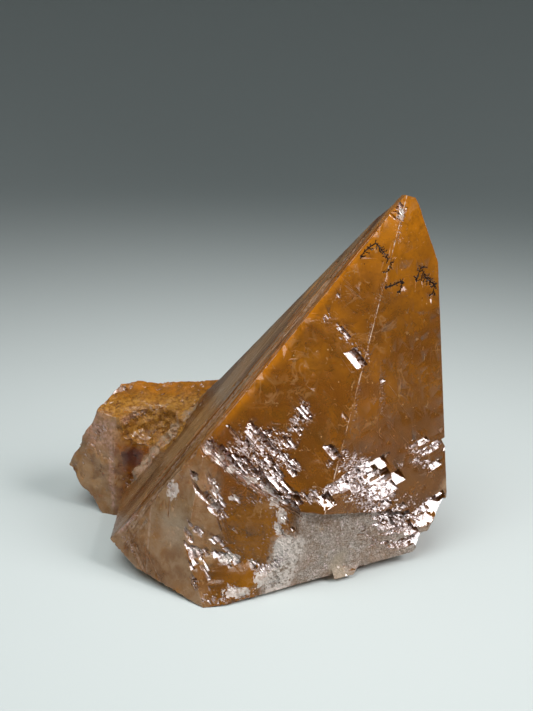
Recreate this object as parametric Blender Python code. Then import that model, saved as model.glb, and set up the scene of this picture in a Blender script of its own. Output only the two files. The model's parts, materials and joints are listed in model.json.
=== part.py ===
"""Amber calcite: a tall dog-tooth point grown together with a smaller broken crystal.

One solid. The point is a scalenohedron: pairs of steep faces round a leaning axis. It is broken
off below along calcite's three cleavage directions, which also shape every chip, step and notch.
The smaller crystal leans out on the left, with a rough pocket in its top.

Frame: +Z up, front towards -Y, the origin at the middle of the bottom of the bounding box.
Lengths are in millimetres and angles in degrees while the shape is cut; the finished mesh is
scaled to metres.
"""
import math
import random
from dataclasses import dataclass

import bmesh
import bpy
from mathutils import Matrix, Vector
from mathutils.bvhtree import BVHTree

# ---------------------------------------------------------------- driving dimensions
METRES_PER_MM = 0.001
STOCK_HALF_SIDE = 130.0         # half the side of the block that each crystal is cut from

AXIS_LEAN_RIGHT = 20.4          # how far the point's axis leans towards +X
AXIS_LEAN_FRONT = 2.0           # and towards -Y
AXIS_TURN = 11.9                # turn of the front edge about the axis, towards +X
DOG_TOOTH_POLAR = 69.04         # angle between the axis and a dog-tooth face's normal
DOG_TOOTH_SPREAD = 19.1         # half the turn between the two faces of a pair
CLEAVAGE_POLAR = 44.6           # angle between the axis and a cleavage plane's normal

APEX = Vector((42.9, -5.0, 101.5))          # where the sharp point would end, unworn
WORN_TIP_DROP = 0.9                         # how much of it is worn off
SHOULDER = Vector((52.9, -2.0, 78.7))       # where the tip facet meets the right face
TIP_SHOULDER = Vector((47.4, -3.0, 95.9))   # where the tip facet bends in again, near the apex
LEFT_EDGE_FOOT = Vector((-10.3, -27.8, 40.1))   # where the left edge of the front face ends
LEFT_FOOT = Vector((-37.9, -18.3, 9.0))     # the low left end of the strip face
BEHIND_LEFT_EDGE_FOOT = Vector((-10.3, 2.2, 40.1))  # level with it; the broken brim runs here
TOE = Vector((-10.2, -40.6, 0.0))           # the front foot, on the ground
TOE_LINE_END = Vector((19.8, -39.1, 0.0))   # the foot of the front runs from the toe to here
WINDOW_BEND = Vector((-15.2, -32.9, 13.3))  # where the hollowed window turns outwards again
BREAK_END = Vector((14.6, -33.7, 23.8))     # right end of the broken brim above the window
RIGHT_FLANK = Vector((55.0, -12.0, 18.0))   # a point on the pale flank at the lower right
RIGHT_END = Vector((49.4, -16.2, 6.7))      # where the pale flank's far edge runs out below
RIGHT_NOTCH = Vector((53.2, -5.5, 32.6))    # deepest point of the notch in the right edge
BACK_FOOT = Vector((0.0, 33.0, 14.0))       # furthest point of the broken back
BACK_CORNER = Vector((50.0, 12.0, 8.0))     # a point on the broken corner at the lower right
BACK_LEFT_SHIFT = 5.0                       # how far the back faces stand out past the apex
BACK_RIGHT_SHIFT = 3.8
TIP_FACET_SHIFT = 0.8
BEVEL_SHIFT = -0.4
STRIP_LEDGES = ((2.2, 0.3), (4.6, 0.45), (7.4, 0.35))   # from the left edge; drop of each ledge
LEDGE_REACH = 60.0                          # how far a ledge runs on behind
LEDGE_COVER = 6.0                           # height of the cutter above the strip face

SIDE_CORNER = Vector((-55.9, 20.0, 13.7))   # leftmost corner of the small crystal
SIDE_EDGE_FOOT = Vector((-41.2, 13.1, 0.0))     # foot of the small crystal's upright edge
SIDE_TOP = Vector((-33.5, 15.0, 32.7))      # a point on its sloping top
SIDE_BACK = Vector((-30.0, 33.0, 20.0))     # a point on its back
SIDE_BACK_FOOT = Vector((-30.0, 33.0, 13.0))    # where its back turns in under it
SIDE_ROOT = Vector((4.0, 26.0, 20.0))       # a point on its far end, buried in the tall point
POCKET = Vector((-28.5, 10.5, 30.5))        # middle of the rough pocket in its top
POCKET_RADII = Vector((9.5, 7.5, 7.5))
POCKET_TURN = 8.0
POCKET_UNEVENNESS = 0.15

BACK_STEPS = (                  # deepest corner and size of each block broken out of the back
    (Vector((15.0, 20.0, 27.0)), 40.0),
    (Vector((33.0, 14.0, 14.0)), 34.0),
    (Vector((24.0, 13.0, 46.0)), 18.0),
    (Vector((-6.0, 23.0, 13.0)), 12.0),
)
CHUNK = Vector((26.9, -26.4, 1.3))  # middle of the lowest face of the clear chunk at the front
CHUNK_HALF_WIDTH = 2.4
CHUNK_HEIGHT = 6.0
CHUNK_FRONT = 0.6                           # how far its front face stands before the middle
NOTCH_LENGTH = 9.0                          # of each edge of the block broken out at the notch
VALLEY_TOP = Vector((-15.5, 15.0, 33.0))    # the crusted valley between the crystals, from here
VALLEY_FOOT = Vector((-33.0, 10.5, 14.5))   # down to here
CRUST_LUMPS = 9
CRUST_RADIUS = (1.5, 2.3)
CRUST_SCATTER = 0.6                         # how far a lump strays from the valley's line
CRUST_UNEVENNESS = 0.12

CHIP_SEED = 2111
CHIP_EDGE = (2.7, 8.1)          # length of each edge of a chip's block, in depths of the chip


# ---------------------------------------------------------------- directions
def direction(heading: float, rise: float) -> Vector:
    """Unit vector: heading turns from +X towards +Y, rise lifts it above the horizontal."""
    turn, lift = math.radians(heading), math.radians(rise)
    return Vector((math.cos(turn) * math.cos(lift), math.sin(turn) * math.cos(lift), math.sin(lift)))


def crystal_frame() -> tuple[Vector, Vector, Vector]:
    """The long axis of the point, and the two directions across it: to the front, to the right."""
    lean_right = math.tan(math.radians(AXIS_LEAN_RIGHT))
    lean_front = math.tan(math.radians(AXIS_LEAN_FRONT))
    axis = Vector((lean_right, -lean_front, 1.0)).normalized()
    front = Vector((0.0, -1.0, 0.0))
    front = (front - axis * front.dot(axis)).normalized()
    return axis, front, axis.cross(front)


AXIS, ACROSS_FRONT, ACROSS_RIGHT = crystal_frame()


def crystal_normal(turn: float, polar: float) -> Vector:
    """Normal of a crystal face, by its turn about the axis and its angle from the axis."""
    turn, polar = math.radians(turn + AXIS_TURN), math.radians(polar)
    across = ACROSS_FRONT * math.cos(turn) + ACROSS_RIGHT * math.sin(turn)
    return AXIS * math.cos(polar) + across * math.sin(polar)


# Five of the dog-tooth faces, in pairs about turns of 0, 120 and 240 degrees.
FRONT_LEFT = crystal_normal(-DOG_TOOTH_SPREAD, DOG_TOOTH_POLAR)
FRONT_RIGHT = crystal_normal(DOG_TOOTH_SPREAD, DOG_TOOTH_POLAR)
STRIP = crystal_normal(-120.0 + DOG_TOOTH_SPREAD, DOG_TOOTH_POLAR)
BACK_LEFT = crystal_normal(-120.0 - DOG_TOOTH_SPREAD, DOG_TOOTH_POLAR)
BACK_RIGHT = crystal_normal(120.0 + DOG_TOOTH_SPREAD, DOG_TOOTH_POLAR)
RIGHT_FACE = direction(20.5, 1.0)       # a stunted sixth face, nearly upright
BEVEL = (RIGHT_FACE + FRONT_RIGHT * 0.5).normalized()   # the thin bevel along the right edge

# The three cleavage planes: one faces the front, one the right and back, one up and left.
CLEAVE_FRONT = crystal_normal(0.0, CLEAVAGE_POLAR)
CLEAVE_RIGHT = crystal_normal(120.0, CLEAVAGE_POLAR)
CLEAVE_TOP = crystal_normal(-120.0, CLEAVAGE_POLAR)

# The three walls of the chips that break out of each front face.
LEFT_CHIP_WALLS = (CLEAVE_FRONT, -CLEAVE_RIGHT, CLEAVE_TOP)
RIGHT_CHIP_WALLS = (CLEAVE_FRONT, CLEAVE_RIGHT, -CLEAVE_TOP)


# ---------------------------------------------------------------- flat cuts
@dataclass(frozen=True)
class Flat:
    """A flat face: it passes through point, and its normal points out of the solid."""

    point: Vector
    normal: Vector

    def pushed(self, distance: float) -> "Flat":
        """The same face moved outwards by distance."""
        return Flat(self.point + self.normal * distance, self.normal)

    def reversed(self) -> "Flat":
        """The same face as the wall of what is cut away."""
        return Flat(self.point, -self.normal)


def flat_through(a: Vector, b: Vector, c: Vector, outward: Vector) -> Flat:
    """The face through three points, turned so that it looks towards outward."""
    normal = (b - a).cross(c - a).normalized()
    if normal.dot(outward) < 0.0:
        normal = -normal
    return Flat(a, normal)


GROUND = Flat(Vector((0.0, 0.0, 0.0)), Vector((0.0, 0.0, -1.0)))
UNDER_RIGHT = Flat(TOE, direction(-50.0, -80.0))     # lifts the lower right edge off the ground
UNDER_LEFT = Flat(TOE, direction(-178.0, -79.0))     # lifts the lower left edge
LEFT_END = Flat(LEFT_FOOT, direction(178.0, -58.0))

# Faces of the tall point: those of the dog-tooth first, then where it is broken and worn.
POINT_FLATS = (
    Flat(APEX, FRONT_LEFT),
    Flat(APEX, FRONT_RIGHT),
    Flat(APEX, STRIP),
    Flat(APEX, BACK_LEFT).pushed(BACK_LEFT_SHIFT),
    Flat(APEX, BACK_RIGHT).pushed(BACK_RIGHT_SHIFT),
    Flat(SHOULDER, RIGHT_FACE),
    Flat(SHOULDER, direction(20.5, 21.4)).pushed(TIP_FACET_SHIFT),  # narrows the tip
    Flat(TIP_SHOULDER, direction(20.5, 31.0)),
    Flat(SHOULDER, BEVEL).pushed(BEVEL_SHIFT),
    Flat(APEX - AXIS * WORN_TIP_DROP, direction(35.0, 74.0)),       # the worn tip
    flat_through(LEFT_EDGE_FOOT, LEFT_FOOT, TOE, direction(-125.0, 15.0)),  # pale left facet
    Flat(RIGHT_FLANK, direction(-35.0, -11.0)),                     # pale flank, lower right
    Flat(RIGHT_END, direction(0.0, -36.5)),             # the right end, broken back under it
    Flat(BACK_FOOT, direction(82.0, 10.0)),                         # the broken back
    Flat(BACK_FOOT, -CLEAVE_FRONT),
    Flat(BACK_CORNER, direction(38.0, -24.0)),
    UNDER_RIGHT,
    UNDER_LEFT,
    LEFT_END,
    GROUND,
)

# Faces of the small crystal that leans out on the left.
SIDE_FLATS = (
    Flat(SIDE_EDGE_FOOT, direction(-115.5, 1.9)),       # the pale left flank
    Flat(SIDE_EDGE_FOOT, direction(-94.0, 0.5)),        # the dark face beside the valley
    Flat(SIDE_TOP, direction(-94.0, 69.0)),             # the sloping top
    Flat(SIDE_CORNER, direction(168.0, 31.0)),          # above and below the left corner
    Flat(SIDE_CORNER, direction(178.0, -40.0)),
    Flat(SIDE_BACK, direction(92.0, 14.0)),
    Flat(SIDE_BACK_FOOT, direction(112.0, -38.0)),
    Flat(SIDE_ROOT, direction(28.0, 16.0)),
    GROUND,
)


# ---------------------------------------------------------------- solids
def solid_from_flats(name: str, flats: tuple[Flat, ...]) -> bpy.types.Object:
    """A convex solid: a large block with everything beyond each flat cut away."""
    shape = bmesh.new()
    bmesh.ops.create_cube(shape, size=2.0 * STOCK_HALF_SIDE)
    for flat in flats:
        whole = shape.verts[:] + shape.edges[:] + shape.faces[:]
        bmesh.ops.bisect_plane(
            shape, geom=whole, plane_co=flat.point, plane_no=flat.normal, clear_outer=True)
        rim = [edge for edge in shape.edges if edge.is_boundary]
        bmesh.ops.holes_fill(shape, edges=rim, sides=0)
    return object_from(shape, name)


def object_from(shape: bmesh.types.BMesh, name: str) -> bpy.types.Object:
    """Turn a finished mesh's faces outwards and put it into the scene as an object."""
    bmesh.ops.recalc_face_normals(shape, faces=shape.faces[:])
    if shape.calc_volume(signed=True) < 0.0:
        bmesh.ops.reverse_faces(shape, faces=shape.faces[:])
    mesh = bpy.data.meshes.new(name)
    shape.to_mesh(mesh)
    shape.free()
    thing = bpy.data.objects.new(name, mesh)
    bpy.context.scene.collection.objects.link(thing)
    return thing


def combine(body: bpy.types.Object, tool: bpy.types.Object, operation: str,
            solver: str = "EXACT") -> None:
    """Join tool to body, or cut it out of body, and delete the tool."""
    boolean = body.modifiers.new("combine", "BOOLEAN")
    boolean.operation = operation
    boolean.solver = solver
    boolean.object = tool
    evaluated = body.evaluated_get(bpy.context.evaluated_depsgraph_get())
    result = bpy.data.meshes.new_from_object(evaluated)
    body.modifiers.remove(boolean)
    old_mesh = body.data
    body.data = result
    bpy.data.meshes.remove(old_mesh)
    tool_mesh = tool.data
    bpy.data.objects.remove(tool)
    bpy.data.meshes.remove(tool_mesh)


def cleavage_block(corner: Vector, walls: tuple[Vector, Vector, Vector],
                   lengths: tuple[float, float, float]) -> bpy.types.Object:
    """A block bounded by cleavage planes, which spreads outwards from its deepest corner.

    Each wall's normal points into the block. Its edges run from the corner along the lines where
    two walls meet.
    """
    edges = []
    for index, length in enumerate(lengths):
        along = walls[(index + 1) % 3].cross(walls[(index + 2) % 3]).normalized()
        if along.dot(walls[index]) < 0.0:
            along = -along
        edges.append(along * length)
    shape = bmesh.new()
    bmesh.ops.create_cube(shape, size=1.0)
    for vert in shape.verts:
        share = [coordinate + 0.5 for coordinate in vert.co]
        vert.co = corner + edges[0] * share[0] + edges[1] * share[1] + edges[2] * share[2]
    return object_from(shape, "cleavage_block")


def rough_lump(centre: Vector, radii: Vector, heading: float, unevenness: float,
               dice: random.Random) -> bpy.types.Object:
    """A faceted lump: a ball of 80 triangles, stretched, turned and made uneven."""
    shape = bmesh.new()
    bmesh.ops.create_icosphere(shape, subdivisions=2, radius=1.0)
    for vert in shape.verts:
        vert.co *= 1.0 + dice.uniform(-unevenness, unevenness)
    turn = Matrix.Rotation(math.radians(heading), 4, "Z")
    placing = Matrix.Translation(centre) @ turn @ Matrix.Diagonal(radii).to_4x4()
    bmesh.ops.transform(shape, matrix=placing, verts=shape.verts[:])
    return object_from(shape, "rough_lump")


# ---------------------------------------------------------------- chips
@dataclass(frozen=True)
class ChipZone:
    """A stretch of the front where the surface is chipped along the cleavage planes.

    The chips are strewn about a line between two places given as (across, up) in the view from
    the front, and keep within spread of it.
    """

    start: tuple[float, float]
    end: tuple[float, float]
    spread: float
    count: int
    depth: tuple[float, float]
    walls: tuple[Vector, Vector, Vector]

    def places(self, dice: random.Random) -> list[tuple[float, float]]:
        """Where the chips go, seen from the front."""
        found = []
        for index in range(self.count):
            share = (index + dice.random()) / self.count
            across = self.start[0] + (self.end[0] - self.start[0]) * share
            up = self.start[1] + (self.end[1] - self.start[1]) * share
            found.append((across + dice.uniform(-self.spread, self.spread),
                          up + dice.uniform(-self.spread, self.spread)))
        return found


CHIP_ZONES = (
    # the broken brim over the window, and the glittering patch above it
    ChipZone((-9.0, 38.5), (7.0, 29.5), 1.0, 14, (0.8, 1.5), LEFT_CHIP_WALLS),
    ChipZone((7.0, 30.0), (15.0, 25.0), 1.2, 8, (0.7, 1.3), LEFT_CHIP_WALLS),
    ChipZone((1.0, 41.0), (13.0, 36.0), 3.4, 26, (0.4, 0.9), LEFT_CHIP_WALLS),
    ChipZone((3.0, 34.0), (12.0, 32.0), 2.0, 10, (0.4, 0.8), LEFT_CHIP_WALLS),
    ChipZone((17.0, 49.0), (15.0, 43.0), 1.2, 6, (0.3, 0.6), LEFT_CHIP_WALLS),
    # the glittering band that runs down the right front face
    ChipZone((20.0, 28.0), (33.0, 32.5), 1.8, 18, (0.5, 1.2), RIGHT_CHIP_WALLS),
    ChipZone((33.0, 31.0), (37.0, 15.0), 2.8, 24, (0.5, 1.2), RIGHT_CHIP_WALLS),
    ChipZone((37.0, 13.0), (52.0, 18.0), 2.0, 18, (0.5, 1.1), RIGHT_CHIP_WALLS),
    ChipZone((38.0, 9.0), (46.0, 8.0), 1.8, 9, (0.4, 0.9), RIGHT_CHIP_WALLS),
    ChipZone((44.0, 35.0), (54.0, 30.0), 1.8, 10, (0.4, 0.8), RIGHT_CHIP_WALLS),
    # the corner between the pale left facet and the window
    ChipZone((-12.5, 33.0), (-6.5, 22.0), 1.4, 7, (0.6, 1.2), LEFT_CHIP_WALLS),
    ChipZone((-13.0, 19.0), (-12.0, 5.0), 1.2, 7, (0.6, 1.1), LEFT_CHIP_WALLS),
    ChipZone((-8.0, 14.0), (-2.0, 11.5), 1.0, 3, (0.5, 0.9), LEFT_CHIP_WALLS),
)


@dataclass(frozen=True)
class Chip:
    """One larger chip, by its place in the view from the front, its depth and its block's size."""

    across: float
    up: float
    depth: float
    size: tuple[float, float, float]
    walls: tuple[Vector, Vector, Vector]


SINGLE_CHIPS = (
    Chip(31.0, 60.0, 2.0, (9.0, 5.0, 5.5), LEFT_CHIP_WALLS),
    Chip(27.4, 66.2, 0.9, (6.0, 2.4, 4.0), LEFT_CHIP_WALLS),
    Chip(24.2, 37.8, 1.4, (6.0, 3.6, 4.0), LEFT_CHIP_WALLS),
    Chip(51.6, 27.4, 1.3, (7.0, 4.0, 4.0), RIGHT_CHIP_WALLS),
    Chip(36.0, 54.0, 0.5, (3.0, 1.6, 1.6), RIGHT_CHIP_WALLS),
    Chip(-19.5, 38.6, 1.5, (8.0, 8.0, 8.0), LEFT_CHIP_WALLS),
    Chip(-38.5, 37.0, 1.2, (8.0, 8.0, 8.0), LEFT_CHIP_WALLS),
    Chip(41.2, 98.4, 0.7, (4.0, 1.6, 3.0), LEFT_CHIP_WALLS),
    Chip(39.6, 95.0, 0.5, (3.0, 1.4, 2.4), LEFT_CHIP_WALLS),
)


def front_surface(body: bpy.types.Object, across: float, up: float) -> Vector | None:
    """The point of the surface met by looking straight in from the front, if there is one."""
    shape = bmesh.new()
    shape.from_mesh(body.data)
    tree = BVHTree.FromBMesh(shape)
    shape.free()
    start = Vector((across, -STOCK_HALF_SIDE, up))
    place, _, _, _ = tree.ray_cast(start, Vector((0.0, 1.0, 0.0)))
    return place


def break_chip(body: bpy.types.Object, chip: Chip) -> None:
    """Break one chip out of the front, if there is anything in front of its place.

    The chips overlap and leave slivers. EXACT loses the whole body on some of them and MANIFOLD
    doesn't.
    """
    place = front_surface(body, chip.across, chip.up)
    if place is None:
        return
    inward = -(chip.walls[0] + chip.walls[1] + chip.walls[2]).normalized()
    block = cleavage_block(place + inward * chip.depth, chip.walls, chip.size)
    combine(body, block, "DIFFERENCE", "MANIFOLD")


def chip_surface(body: bpy.types.Object, zone: ChipZone, dice: random.Random) -> None:
    """Break small cleavage chips out of one zone of the front."""
    for across, up in zone.places(dice):
        depth = dice.uniform(*zone.depth)
        size = tuple(depth * dice.uniform(*CHIP_EDGE) for _ in range(3))
        break_chip(body, Chip(across, up, depth, size, zone.walls))


# ---------------------------------------------------------------- the specimen
def clear_scene() -> None:
    """Remove whatever stands in the scene."""
    for thing in list(bpy.data.objects):
        bpy.data.objects.remove(thing)


def break_lower_front(body: bpy.types.Object) -> None:
    """Break back the foot of the front: a hollowed window on the left, a frosted slope beside it."""
    upper = Flat(WINDOW_BEND, direction(-92.0, 10.4))
    lower = flat_through(TOE, WINDOW_BEND, TOE_LINE_END, direction(-86.0, 30.0))
    brim = flat_through(LEFT_EDGE_FOOT, BREAK_END, BEHIND_LEFT_EDGE_FOOT, direction(60.0, 60.0))
    right_side = Flat(BREAK_END, direction(-20.0, -6.0))
    window = (upper.reversed(), lower.reversed(), brim, right_side)
    combine(body, solid_from_flats("window", window), "DIFFERENCE")
    slope = Flat(BREAK_END, direction(-65.0, -6.0))
    slope_top = Flat(BREAK_END, direction(62.0, 76.0))
    combine(body, solid_from_flats("frosted_slope", (slope.reversed(), slope_top)), "DIFFERENCE")


def add_pale_chunk(body: bpy.types.Object) -> None:
    """The small clear block that hangs under the frosted slope."""
    sideways = Vector((CHUNK_HALF_WIDTH, 0.0, 0.0))
    forwards = direction(-65.0, 0.0)
    flats = (
        Flat(CHUNK, direction(-60.0, -86.0)),                                   # below
        Flat(CHUNK + Vector((0.0, 0.0, CHUNK_HEIGHT)), direction(115.0, 84.0)),  # above
        Flat(CHUNK - sideways, direction(172.0, -20.0)),                        # left
        Flat(CHUNK + sideways, direction(-8.0, -34.0)),                         # right
        Flat(CHUNK + forwards * CHUNK_FRONT, direction(-65.0, 24.0)),           # front
        Flat(CHUNK - forwards * CHUNK_HALF_WIDTH, direction(115.0, 0.0)),       # inside the point
    )
    combine(body, solid_from_flats("pale_chunk", flats), "UNION")


def crust_valley(body: bpy.types.Object, dice: random.Random) -> None:
    """The crust of small grains that fills the valley between the two crystals."""
    for index in range(CRUST_LUMPS):
        share = (index + dice.uniform(0.2, 0.8)) / CRUST_LUMPS
        centre = VALLEY_TOP.lerp(VALLEY_FOOT, share)
        centre.x += dice.uniform(-CRUST_SCATTER, CRUST_SCATTER)
        centre.y += dice.uniform(-CRUST_SCATTER, CRUST_SCATTER)
        radius = dice.uniform(*CRUST_RADIUS)
        radii = Vector((radius, radius * dice.uniform(0.8, 1.1), radius * dice.uniform(0.8, 1.2)))
        lump = rough_lump(centre, radii, dice.uniform(0.0, 90.0), CRUST_UNEVENNESS, dice)
        combine(body, lump, "UNION")


def ledge_strip_face(body: bpy.types.Object) -> None:
    """Step the strip face down in long ledges that run with its edge."""
    edge = FRONT_LEFT.cross(STRIP).normalized()
    backwards = STRIP.cross(edge).normalized()
    if backwards.y < 0.0:
        backwards = -backwards
    drop = 0.0
    for distance, step in STRIP_LEDGES:
        drop += step
        floor = Flat(APEX - STRIP * drop, STRIP)
        riser = Flat(APEX + backwards * distance, backwards)
        far_side = Flat(APEX + backwards * LEDGE_REACH, backwards)
        top = Flat(APEX + STRIP * LEDGE_COVER, STRIP)
        ledge = (floor.reversed(), riser.reversed(), far_side, top)
        combine(body, solid_from_flats("ledge", ledge), "DIFFERENCE")


def hollow_pocket(body: bpy.types.Object, dice: random.Random) -> None:
    """Sink the rough pocket into the small crystal's top, beside the valley."""
    pocket = rough_lump(POCKET, POCKET_RADII, POCKET_TURN, POCKET_UNEVENNESS, dice)
    combine(body, pocket, "DIFFERENCE")


def notch_right_edge(body: bpy.types.Object) -> None:
    """Break the small notch out of the right edge."""
    lengths = (NOTCH_LENGTH, NOTCH_LENGTH, NOTCH_LENGTH)
    combine(body, cleavage_block(RIGHT_NOTCH, RIGHT_CHIP_WALLS, lengths), "DIFFERENCE")


def step_back(body: bpy.types.Object) -> None:
    """Break large cleavage steps out of the back."""
    walls = (CLEAVE_RIGHT, -CLEAVE_FRONT, CLEAVE_TOP)
    for corner, length in BACK_STEPS:
        combine(body, cleavage_block(corner, walls, (length, length, length)), "DIFFERENCE")


def amber_material() -> bpy.types.Material:
    """Clear to cloudy honey-brown calcite."""
    material = bpy.data.materials.new("amber_calcite")
    material.use_nodes = True
    shader = material.node_tree.nodes["Principled BSDF"]
    shader.inputs["Base Color"].default_value = (0.42, 0.17, 0.035, 1.0)
    shader.inputs["Roughness"].default_value = 0.28
    shader.inputs["Metallic"].default_value = 0.0
    shader.inputs["IOR"].default_value = 1.6
    shader.inputs["Transmission Weight"].default_value = 0.4
    return material


def stand_on_origin(body: bpy.types.Object) -> None:
    """Move the solid so that the middle of its box's bottom is the origin, and scale to metres."""
    lows = [min(vert.co[axis] for vert in body.data.vertices) for axis in range(3)]
    highs = [max(vert.co[axis] for vert in body.data.vertices) for axis in range(3)]
    middle = Vector(((lows[0] + highs[0]) / 2.0, (lows[1] + highs[1]) / 2.0, lows[2]))
    body.data.transform(Matrix.Scale(METRES_PER_MM, 4) @ Matrix.Translation(-middle))


def build_specimen() -> bpy.types.Object:
    """Grow the two crystals together and break them as they are broken."""
    dice = random.Random(CHIP_SEED)
    body = solid_from_flats("amber_calcite", POINT_FLATS)
    ledge_strip_face(body)
    combine(body, solid_from_flats("side_crystal", SIDE_FLATS), "UNION")
    break_lower_front(body)
    add_pale_chunk(body)
    hollow_pocket(body, dice)
    crust_valley(body, dice)
    notch_right_edge(body)
    step_back(body)
    for chip in SINGLE_CHIPS:
        break_chip(body, chip)
    for zone in CHIP_ZONES:
        chip_surface(body, zone, dice)
    stand_on_origin(body)
    body.data.materials.clear()
    body.data.materials.append(amber_material())
    return body


clear_scene()
build_specimen()
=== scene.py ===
"""Amber calcite: the look of the specimen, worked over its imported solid.

The specimen is cut further along its own cleavage, roughened where it is broken and dressed in
one clear to cloudy amber finish. Lengths are in millimetres while a mesh is worked on, and in
metres in the scene. The front is towards -Y and +Z is up.
"""
import json
import logging
import math
import random
from collections.abc import Iterable, Iterator
from dataclasses import dataclass, field
from enum import Enum

import bmesh
import bpy
import numpy as np
from mathutils import Euler, Matrix, Vector, noise
from mathutils.bvhtree import BVHTree

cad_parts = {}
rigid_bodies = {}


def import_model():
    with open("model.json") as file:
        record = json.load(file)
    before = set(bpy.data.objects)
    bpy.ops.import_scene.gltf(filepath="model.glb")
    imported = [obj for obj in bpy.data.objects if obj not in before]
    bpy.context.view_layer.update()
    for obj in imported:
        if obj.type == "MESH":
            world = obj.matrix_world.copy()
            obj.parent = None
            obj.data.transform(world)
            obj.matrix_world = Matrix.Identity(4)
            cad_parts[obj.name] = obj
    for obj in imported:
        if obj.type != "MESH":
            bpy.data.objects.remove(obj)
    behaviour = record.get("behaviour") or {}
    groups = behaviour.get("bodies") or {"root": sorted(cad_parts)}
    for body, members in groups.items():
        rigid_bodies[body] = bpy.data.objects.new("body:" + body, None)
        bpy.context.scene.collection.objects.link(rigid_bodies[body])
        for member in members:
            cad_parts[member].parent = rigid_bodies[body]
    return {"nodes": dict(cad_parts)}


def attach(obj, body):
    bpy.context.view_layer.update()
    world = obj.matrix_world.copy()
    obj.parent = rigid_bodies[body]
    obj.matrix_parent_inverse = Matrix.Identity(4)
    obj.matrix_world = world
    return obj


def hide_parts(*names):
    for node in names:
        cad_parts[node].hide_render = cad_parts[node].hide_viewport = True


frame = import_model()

NODE = "amber_calcite"
BODY = "root"
METRES_PER_MM = 0.001

log = logging.getLogger("specimen")


# ---------------------------------------------------------------- directions and planes
def direction(heading: float, rise: float) -> Vector:
    """Unit vector by compass and height.

    Args:
        heading: turn from +X towards +Y, in degrees.
        rise: lift above the horizontal, in degrees.

    Returns:
        The unit vector.
    """
    turn, lift = math.radians(heading), math.radians(rise)
    return Vector((math.cos(turn) * math.cos(lift), math.sin(turn) * math.cos(lift), math.sin(lift)))


@dataclass(frozen=True)
class CrystalAxes:
    """The calcite's own directions: its leaning axis, its dog-tooth faces and its cleavage."""

    lean_right: float = 20.4
    lean_front: float = 2.0
    turn: float = 11.9
    tooth_polar: float = 69.04
    tooth_spread: float = 19.1
    cleavage_polar: float = 44.6

    @property
    def axis(self) -> Vector:
        """The long axis of the tall point.

        Returns:
            The unit direction.
        """
        right = math.tan(math.radians(self.lean_right))
        front = math.tan(math.radians(self.lean_front))
        return Vector((right, -front, 1.0)).normalized()

    def normal(self, turn: float, polar: float) -> Vector:
        """Normal of one crystal face.

        Args:
            turn: turn of the face about the axis, in degrees.
            polar: angle between the axis and the normal, in degrees.

        Returns:
            The unit normal.
        """
        front = Vector((0.0, -1.0, 0.0))
        front = (front - self.axis * front.dot(self.axis)).normalized()
        right = self.axis.cross(front)
        spin, tip = math.radians(turn + self.turn), math.radians(polar)
        across = front * math.cos(spin) + right * math.sin(spin)
        return self.axis * math.cos(tip) + across * math.sin(tip)

    @property
    def front_left(self) -> Vector:
        """The broad left face of the front."""
        return self.normal(-self.tooth_spread, self.tooth_polar)

    @property
    def front_right(self) -> Vector:
        """The right face of the front."""
        return self.normal(self.tooth_spread, self.tooth_polar)

    @property
    def strip(self) -> Vector:
        """The narrow grey face along the left edge."""
        return self.normal(self.tooth_spread - 120.0, self.tooth_polar)

    @property
    def cleavage(self) -> tuple[Vector, Vector, Vector]:
        """The three directions in which calcite splits."""
        return tuple(self.normal(turn, self.cleavage_polar) for turn in (0.0, 120.0, -120.0))


@dataclass(frozen=True)
class Plane:
    """A flat through a point, with a normal that points out of the stone."""

    point: Vector
    normal: Vector

    def below(self, points: np.ndarray) -> np.ndarray:
        """Depth of points under the plane.

        Args:
            points: rows of x, y and z.

        Returns:
            One depth for each row, positive inside the stone.
        """
        return (np.array(self.point) - points) @ np.array(self.normal)


def through(a: Vector, b: Vector, c: Vector, outward: Vector) -> Plane:
    """The plane through three points.

    Args:
        a: first point.
        b: second point.
        c: third point.
        outward: a direction on the outer side.

    Returns:
        The plane, turned towards outward.
    """
    normal = (b - a).cross(c - a).normalized()
    return Plane(a, normal if normal.dot(outward) > 0.0 else -normal)


AXES = CrystalAxes()
APEX = Vector((42.46, -3.83, 101.5))
LEFT_EDGE_FOOT = Vector((-10.74, -26.63, 40.1))
LEFT_FOOT = Vector((-38.34, -17.13, 9.0))
TOE = Vector((-10.64, -39.43, 0.0))
BREAK_END = Vector((14.16, -32.53, 23.8))
RIGHT_FLANK = Vector((54.56, -10.83, 18.0))
SIDE_EDGE_FOOT = Vector((-41.64, 14.27, 0.0))
SIDE_TOP = Vector((-33.94, 16.17, 32.7))
VALLEY_TOP = Vector((-15.94, 16.17, 33.0))
VALLEY_FOOT = Vector((-33.44, 11.67, 14.5))
SPILL_TOP = (11.5, -31.7, 13.0)
SPILL_FOOT = (8.5, -33.5, 2.0)
POCKET = Vector((-28.94, 11.67, 30.5))
POCKET_RADII = Vector((9.5, 7.5, 7.5))
BLUSH = (-45.0, 16.5, 26.5)
BRUISE = (-36.0, 14.0, 19.3)
BROWN_BAND = ((-31.0, -22.0, 8.6), (-22.0, -29.5, 3.8))
# Middle of the painted highlight on the pale facet.
FACET_HIGHLIGHT = (-18.6, -28.6, 16.8)
HAZE = ((-10.5, 31.0), (-10.0, 12.0))
DUSK_LINE = ((-4.0, 38.0), (14.0, 34.0))
CHUNK = Vector((26.46, -25.23, 4.3))
BACK_FOOT = Vector((-0.44, 34.17, 14.0))

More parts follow.
